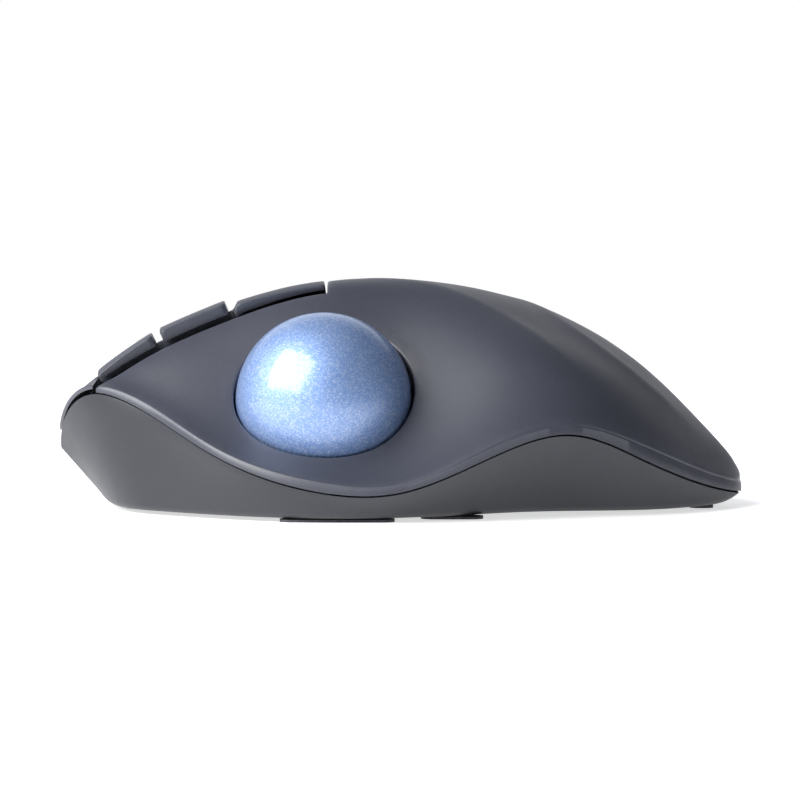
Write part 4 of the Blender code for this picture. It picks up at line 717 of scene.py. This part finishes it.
# Stirring leaves paler swirls in the resin, about 12 mm across
cloud = add(tree, "TexNoise", {"Vector": place, "Scale": 1000 / 12, "Detail": 2.0, "Distortion": 0.6})
body = add(tree, "Mix", {"Factor": cloud.outputs["Fac"], "A": linear("#6f90c6"), "B": linear("#86a4d5")},
           data_type="RGBA")
bright = add(tree, "MapRange", {"Value": tint.outputs["Red"], "From Min": 0.45, "To Max": 0.32})
colour = add(tree, "Mix", {"Factor": bright.outputs["Result"], "A": body.outputs["Result"],
                           "B": linear("#f2f6fd")}, data_type="RGBA")
tilt = add(tree, "Bump", {"Strength": 0.25, "Distance": 0.02 * MM, "Height": tint.outputs["Green"]})
gloss = add(tree, "MapRange", {"Value": tint.outputs["Blue"], "To Min": 0.5, "To Max": 0.66})
skin = add(tree, "BsdfPrincipled", {"Base Color": colour.outputs["Result"], "Metallic": 0.7,
                                    "Roughness": gloss.outputs["Result"], "Normal": tilt.outputs["Normal"],
                                    "Coat Weight": 0.8, "Coat Roughness": 0.14, "Coat IOR": 1.54})
add(tree, "OutputMaterial", {"Surface": skin.outputs["BSDF"]})
ball.data.materials.append(pearl)
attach(ball, "ball")
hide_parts("trackball")

# ---------------------------------------------------------------- base shell
# The lower half of the case, the same grained ABS with its colour painted slightly darker as painted shade
# under the body. Its rim meets the top shell's lip in a fine dark seam that waves down under the ball.

FLOOR_TOP = BASE_Z + 1.8
BASE_ROUND = 1.2
BASE_FRONT_X = -57.5
BASE_REAR_X = 64.0
BASE_LEFT = ((-57.5, 4.0), (-54.5, -16.0), (-46.0, -27.0), (-34.0, -37.0), (-18.0, -44.8), (-4.0, -44.8),
             (10.0, -38.0), (24.0, -28.5), (38.0, -25.0), (50.0, -21.5), (58.5, -13.5), (64.0, 0.0))
BASE_RIGHT = ((-57.5, 4.0), (-54.0, 22.0), (-44.0, 34.0), (-26.0, 42.0), (0.0, 45.5), (28.0, 42.5),
              (46.0, 32.5), (57.0, 18.0), (64.0, 0.0))


def base_outline(side):
    """The flat base's outline on one side, as a rule of an angle from 0 at the front to pi at the rear."""
    half = (BASE_REAR_X - BASE_FRONT_X) / 2
    middle = (BASE_REAR_X + BASE_FRONT_X) / 2
    points = BASE_LEFT if side < 0 else BASE_RIGHT
    line = natural_spline([float(angle_along(x - middle, half)) for x, _ in points], [y for _, y in points])
    return lambda angle: np.array((middle - half * math.cos(angle), float(line(angle))))


def plan_inset(ring, by):
    """A closed plan ring moved towards its inside."""
    along = np.roll(ring, -1, axis=0) - np.roll(ring, 1, axis=0)
    way = np.stack((-along[:, 1], along[:, 0]), axis=1)
    return ring + by * way / np.linalg.norm(way, axis=1)[:, None]


ROUND_SIDE = 150
angles = np.linspace(0, math.pi, ROUND_SIDE, endpoint=False)
places = [(a, -1) for a in angles] + [(math.pi - a, 1) for a in angles]
left_base, right_base = base_outline(-1), base_outline(1)
rim = np.array([(-(LENGTH / 2) * math.cos(a), RAILS(a)[0 if side < 0 else -1, 0]) for a, side in places])
rim = plan_inset(rim, GAP)
rim_z = np.array([float(rim_height(-(LENGTH / 2) * math.cos(a), side)) for a, side in places])
base = np.array([(left_base if side < 0 else right_base)(a) for a, side in places])


def wall_ring(level, inset):
    """A ring on the wall's slant at a height, moved inwards."""
    down = (rim_z - level) / (rim_z - BASE_Z)
    return np.column_stack((plan_inset(rim + (base - rim) * down[:, None], inset), level + 0 * rim_z))


RIM_ROUND = 0.25
RIM_MIDDLE = 0.07
rings = [wall_ring(rim_z, RIM_ROUND), wall_ring(rim_z - RIM_MIDDLE, RIM_MIDDLE),
         wall_ring(rim_z - RIM_ROUND, 0.0)]
foot_level = BASE_Z + BASE_ROUND
for share in (0.2, 0.4, 0.6, 0.8, 1.0):
    rings.append(wall_ring(rim_z - RIM_ROUND + (foot_level - rim_z + RIM_ROUND) * share, 0.0))
for turn in (20, 40, 60, 75):
    share = math.radians(turn)
    rings.append(wall_ring(BASE_Z + BASE_ROUND * (1 - math.sin(share)), BASE_ROUND * (1 - math.cos(share))))
rings.append(np.column_stack((plan_inset(base, BASE_ROUND), np.full(len(base), BASE_Z))))
outer_count = len(rings)
for share in (1.0, 0.66, 0.33, 0.0):
    rings.append(wall_ring(rim_z + (FLOOR_TOP - rim_z) * share, WALL))
mesh = bmesh.new()
loops = [[mesh.verts.new(p) for p in ring] for ring in rings]
count = len(places)
for k, (first, second) in enumerate(zip(loops, loops[1:] + loops[:1])):
    if k == outer_count - 1:
        continue
    for i in range(count):
        mesh.faces.new((first[i], first[(i + 1) % count], second[(i + 1) % count], second[i]))
mesh.faces.new(loops[outer_count - 1])
mesh.faces.new(loops[outer_count])
bmesh.ops.recalc_face_normals(mesh, faces=mesh.faces)


def box_mesh(low, high):
    mesh = bmesh.new()
    bmesh.ops.create_cube(mesh, size=1.0)
    low, high = Vector(low), Vector(high)
    bmesh.ops.scale(mesh, verts=mesh.verts, vec=high - low)
    bmesh.ops.translate(mesh, verts=mesh.verts, vec=(low + high) / 2)
    return mesh


def rod_mesh(start, end, radius, sides=48, end_radius=None):
    start, end = Vector(start), Vector(end)
    along = end - start
    turn = along.to_track_quat("Z", "Y").to_matrix().to_4x4()
    mesh = bmesh.new()
    bmesh.ops.create_cone(mesh, cap_ends=True, segments=sides, radius1=radius,
                          radius2=radius if end_radius is None else end_radius, depth=along.length,
                          matrix=Matrix.Translation((start + end) / 2) @ turn)
    return mesh


def carved(name, mesh, steps, sharp=38):
    """An object from a mesh after Booleans with other meshes, which are used up."""
    made = smooth_object(name, mesh, sharp)
    tools = []
    for operation, tool in steps:
        tools.append(smooth_object("tool", tool))
        step = made.modifiers.new("step", "BOOLEAN")
        step.operation = operation
        step.object = tools[-1]
        step.solver = "EXACT"
    bpy.context.view_layer.update()
    data = bpy.data.meshes.new_from_object(made.evaluated_get(bpy.context.evaluated_depsgraph_get()))
    made.modifiers.clear()
    made.data = data
    for tool in tools:
        bpy.data.objects.remove(tool)
    data.shade_smooth()
    data.set_sharp_from_angle(angle=math.radians(sharp))
    return made


def node_box(name):
    """A CAD node's corners in millimetres."""
    low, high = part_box(name)
    return low / MM, high / MM


door_low, door_high = node_box("battery_door")
LEDGE = 1.6
RIB = 1.2
BAY_ROOF = 1.6
CELL_WALL_RISE = 2.0
CELL_ROOM = 5
STICK_ROOM = 9
# What is joined starts this far inside the floor, and what is cut runs this far past a face
BITE = 0.5
PAST = 1
bay_low = Vector((door_low.x - 2 * GAP + LEDGE, door_low.y - GAP + LEDGE, 0))
cell_low, cell_high = node_box("battery_cell")
room_high_y = cell_high.y + 2 * GAP
stick_low, stick_high = node_box("usb_receiver")
bay_high_x = door_high.x + GAP - LEDGE
deck = door_high.z + GAP
cell_wall_top = (cell_low.z + cell_high.z) / 2 + CELL_WALL_RISE
steps = [("UNION", box_mesh((bay_low.x - LEDGE - RIB, bay_low.y - LEDGE - RIB, BASE_Z + BITE),
                            (bay_high_x + LEDGE + RIB, door_high.y + GAP + RIB, deck + BAY_ROOF))),
         ("UNION", box_mesh((bay_low.x - RIB, bay_low.y - RIB, FLOOR_TOP),
                            (bay_high_x + RIB, room_high_y + RIB, cell_wall_top)))]
screws = [node_box(f"case_screw_{i}") for i in range(1, 6)]
spots = [((low.x + high.x) / 2, (low.y + high.y) / 2) for low, high in screws]
HEAD, HEAD_RADIUS, SHANK_RADIUS = 1.5, 2.6, 1.2
BOSS_TOP, BOSS_RADIUS = 5.2, 4.5
PUSH_OUT_RADIUS = 7.0
under = BASE_Z - PAST
steps += [("UNION", rod_mesh((x, y, BASE_Z + BITE), (x, y, BOSS_TOP), BOSS_RADIUS)) for x, y in spots]
steps += [("DIFFERENCE", box_mesh((bay_low.x - LEDGE, bay_low.y - LEDGE, under),
                                  (door_high.x + GAP, door_high.y + GAP, deck))),
          ("DIFFERENCE", box_mesh((bay_low.x, bay_low.y, under),
                                  (bay_high_x, room_high_y, cell_high.z + CELL_ROOM))),
          ("DIFFERENCE", box_mesh((stick_low.x - GAP, stick_low.y - GAP, under),
                                  (stick_high.x + GAP, stick_high.y + GAP, FLOOR_TOP + STICK_ROOM)))]
for x, y in spots:
    steps += [("DIFFERENCE", rod_mesh((x, y, under), (x, y, BASE_Z + HEAD + 2 * GAP), HEAD_RADIUS + GAP)),
              ("DIFFERENCE", rod_mesh((x, y, BASE_Z), (x, y, BOSS_TOP + PAST), SHANK_RADIUS + GAP))]
steps.append(("DIFFERENCE", rod_mesh((BALL_CENTRE.x, BALL_CENTRE.y, under),
                                     (BALL_CENTRE.x, BALL_CENTRE.y, FLOOR_TOP + PAST), PUSH_OUT_RADIUS, 72)))
slider_low, slider_high = node_box("power_slider")
SLIDER_TRAVEL = 3.0
slider_end = slider_high.x + SLIDER_TRAVEL
steps.append(("DIFFERENCE", box_mesh((slider_low.x - GAP, slider_low.y - GAP, under),
                                     (slider_end + GAP, slider_high.y + GAP, FLOOR_TOP + PAST))))
press_low, press_high = node_box("connect_button")
press = (press_low + press_high) / 2
steps.append(("DIFFERENCE", rod_mesh((press.x, press.y, under), (press.x, press.y, FLOOR_TOP + PAST),
                                     (press_high.x - press_low.x) / 2 + GAP)))
base_shell = carved("base_shell_moulding", mesh, steps)
# Nearly black: the ABS's colour is painted darker as painted shade, so the base reads as its shadow; a touch
# more matt than the top
shade_darkened_abs = moulded("abs_spark_eroded_painted_shade", "#202228", "#272931", 0.5, 0.4, 0.03)
base_shell.data.materials.clear()
base_shell.data.materials.append(shade_darkened_abs)
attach(base_shell, "case")
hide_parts("bottom_shell")

# ---------------------------------------------------------------- battery door and underside controls
# The door is in the base's ABS with the same painted shade, hinged at its front edge with a snap at the
# rear. The power slider and the connect button are small pieces of acetal that show in the base.

def finish_nodes(made, *names):
    """Gives CAD nodes a material."""
    for name in names:
        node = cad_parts[name]
        node.data.materials.clear()
        node.data.materials.append(made)


def surface(name, colour, pale, scale, **skin):
    """A material whose tone varies between two colours over grains of a size in mm, with a fine relief."""
    made = bpy.data.materials.new(name)
    made.use_nodes = True
    tree = made.node_tree
    tree.nodes.clear()
    place = add(tree, "TexCoord").outputs["Object"]
    grain = add(tree, "TexNoise", {"Vector": place, "Scale": 1000 / scale, "Detail": 3.0})
    share = add(tree, "MapRange", {"Value": grain.outputs["Fac"], "From Min": 0.35, "From Max": 0.65})
    body = add(tree, "Mix", {"Factor": share.outputs["Result"], "A": linear(colour), "B": linear(pale)},
               data_type="RGBA")
    relief = add(tree, "Bump", {"Strength": 0.3, "Distance": 0.02 * MM, "Height": grain.outputs["Fac"]})
    base = skin.pop("Roughness")
    rough = add(tree, "MapRange", {"Value": grain.outputs["Fac"], "From Min": 0.3, "From Max": 0.7,
                                   "To Min": base - 0.05, "To Max": base + 0.06})
    out = add(tree, "BsdfPrincipled", {"Base Color": body.outputs["Result"],
                                       "Roughness": rough.outputs["Result"],
                                       "Normal": relief.outputs["Normal"], **skin})
    add(tree, "OutputMaterial", {"Surface": out.outputs["BSDF"]})
    return made


# The door takes the base's colour, painted dark as painted shade
finish_nodes(shade_darkened_abs, "battery_door")
# Acetal, moulded: waxy, a little translucent, with a low soft gloss
white_acetal = surface("acetal_white_moulded", "#c9c9c6", "#d8d8d4", 0.5, Roughness=0.38, IOR=1.48,
                       **{"Subsurface Weight": 0.05, "Subsurface Scale": 0.001})
# The same in black, for small parts that slide or click: a low soft gloss on near black
dark_acetal = surface("acetal_black_moulded", "#19191b", "#232326", 0.5, Roughness=0.36, IOR=1.48)
finish_nodes(white_acetal, "power_slider")
finish_nodes(dark_acetal, "connect_button")

# ---------------------------------------------------------------- feet
# Five pads of PTFE, cut from sheet and glued into the base. PTFE is dull and waxy, its tone
# varying in fine grains.

ptfe = surface("ptfe_skived_sheet", "#3a3b3f", "#4b4c51", 0.9, Roughness=0.55, IOR=1.38)
finish_nodes(ptfe, *[f"foot_{i}" for i in range(1, 6)])

# ---------------------------------------------------------------- inside: frame, cup and carrier
# Black glass-filled ABS, moulded without a grain on the inside, so it has a plain satin
# surface. It holds the buttons, the ball's beads and the wheel.

# Black and satin, with only the tool's fine marks and a soft highlight along its ribs
black_abs = moulded("abs_black_satin", "#141416", "#1b1b1e", 0.4, 0.3, 0.01)
finish_nodes(black_abs, "inner_frame", "ball_cup", "wheel_carrier")

# ---------------------------------------------------------------- ball's beads, lens and sensor
# Three zirconia beads, ground and polished, press fitted in the cup, carry the ball. The
# sensor looks at it through a clear moulded lens.

# Off-white, dense and glassy, with a small sharp highlight
zirconia = surface("zirconia_polished", "#e6e4de", "#f2f1ec", 0.3, Roughness=0.12, IOR=2.1)
finish_nodes(zirconia, "support_bearing_1", "support_bearing_2", "support_bearing_3")
# Polycarbonate: clear and colourless, with a tight gloss and the faintest haze
lens_pc = surface("polycarbonate_clear_moulded", "#e9eff2", "#f4f8fa", 0.8, Roughness=0.08, IOR=1.585,
                  **{"Transmission Weight": 0.9})
finish_nodes(lens_pc, "sensor_lens")
# The sensor's case, transfer moulded: dull black with a broad, faint highlight
epoxy = surface("epoxy_black_moulded", "#101012", "#1c1c1f", 0.25, Roughness=0.5, IOR=1.55)
finish_nodes(epoxy, "optical_sensor")
# Nylon for the small housings and the wheel's hub: black, a little duller than the acetal
nylon_black = surface("nylon_black_moulded", "#151517", "#202024", 0.6, Roughness=0.45, IOR=1.53)
finish_nodes(nylon_black, "wheel_encoder", "connect_switch", "power_switch")

# ---------------------------------------------------------------- scroll wheel
# A moulded nylon hub with a ribbed tyre of rubber stretched over it, on a ground steel axle.
# The ribs run across the tread, one every 2 mm or so.

WHEEL_CENTRE = sum(node_box("wheel_tyre"), Vector()) / 2
TYRE = 1.7
RIBS = 30
RIB_STEPS = 6
GROOVE = 0.32
RIB_END = 0.8
TREAD = 0.3
tread = bmesh.new()
half = WHEEL_WIDTH / 2
# One half of the tyre's section: each point's radius and its place across. The other half mirrors it
half_section = [(WHEEL_RADIUS - deep, -half + aside)
                for deep, aside in ((TYRE, 0.5), (1.25, 0.12), (0.8, 0.0), (0.4, 0.35), (0.2, RIB_END))]
half_section.append((WHEEL_RADIUS - 0.06, -half / 2))
section = half_section + [(WHEEL_RADIUS, 0.0)] + [(radius, -y) for radius, y in reversed(half_section)]
steps = RIBS * RIB_STEPS
rounds = []
for k in range(steps):
    angle = 2 * math.pi * k / steps
    groove = GROOVE * (1 - math.cos(2 * math.pi * k / RIB_STEPS)) / 2
    row = []
    for radius, y in section:
        on_tread = radius > WHEEL_RADIUS - TREAD
        tall = max(0.0, 1 - (abs(y) / (half - RIB_END)) ** 4) if on_tread else 0.0
        reach = radius - groove * tall
        row.append(tread.verts.new((WHEEL_CENTRE.x + reach * math.cos(angle), WHEEL_CENTRE.y + y,
                                    WHEEL_CENTRE.z + reach * math.sin(angle))))
    rounds.append(row)
for first, second in zip(rounds, rounds[1:] + rounds[:1]):
    for j in range(len(section)):
        k = (j + 1) % len(section)
        tread.faces.new((first[j], first[k], second[k], second[j]))
bmesh.ops.recalc_face_normals(tread, faces=tread.faces)
tyre = smooth_object("ribbed_tyre", tread, 45)
# Nitrile rubber, moulded: deep grey and matt
rubber = surface("nitrile_rubber_moulded", "#1b1c1e", "#26272a", 0.35, Roughness=0.72, IOR=1.52)
tyre.data.materials.append(rubber)
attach(tyre, "wheel")
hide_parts("wheel_tyre")
finish_nodes(nylon_black, "scroll_wheel")
# Steel rod, ground to size: bright, with very fine marks round it
ground_steel = surface("steel_ground", "#a9abad", "#c1c3c5", 0.12, Roughness=0.25, Metallic=1.0)
finish_nodes(ground_steel, "wheel_axle")

# ---------------------------------------------------------------- boards, switches and ribbon
# Glass-epoxy boards under a black-green solder mask carry small switches in nylon cases with
# acetal plungers. A flat cable joins the sensor's board to the main one.

# Printed-circuit lacquer over woven glass: almost black with a green cast, and glossy
solder_mask = surface("glass_epoxy_solder_mask", "#0b1712", "#101f18", 1.2, Roughness=0.3, IOR=1.55)
finish_nodes(solder_mask, "main_board", "side_button_board", "sensor_board")
finish_nodes(nylon_black, "left_switch", "right_switch", "middle_switch", "forward_switch", "back_switch")
finish_nodes(dark_acetal, *[name + "_plunger" for name in ("left", "right", "middle", "forward", "back")])
# Polyester film over flat wires: bone white and lightly glossy
ribbon_pet = surface("pet_flat_cable", "#d9d6cc", "#e8e6df", 1.0, Roughness=0.35, IOR=1.57)
finish_nodes(ribbon_pet, "ribbon_cable")

# ---------------------------------------------------------------- battery, contacts and receiver
# An AA cell in a plain grey sleeve, between a coil spring and a flat tab of
# nickel-plated steel. The radio receiver parks beside it, a plug with a black plastic grip.

# PVC film, shrunk on by heat: smooth, tight and rather glossy
sleeve = surface("pvc_sleeve_shrunk", "#4c5058", "#5a5e67", 2.0, Roughness=0.3, IOR=1.53)
finish_nodes(sleeve, "battery_cell")
# Nickel plate: warmer and duller than chrome
nickel = surface("steel_nickel_plated", "#b9b3a6", "#cbc6ba", 0.3, Roughness=0.3, Metallic=1.0)
finish_nodes(nickel, "battery_spring", "battery_plate")
finish_nodes(dark_acetal, "usb_receiver")

# ---------------------------------------------------------------- case screws
# Five self-tapping screws, steel blackened by zinc phosphate, with a cross recess. They go
# up through the base's bosses.

phosphate = surface("steel_zinc_phosphate", "#2b2c2e", "#3b3c3e", 0.2, Roughness=0.45, Metallic=1.0)
finish_nodes(phosphate, *[f"case_screw_{i}" for i in range(1, 6)])
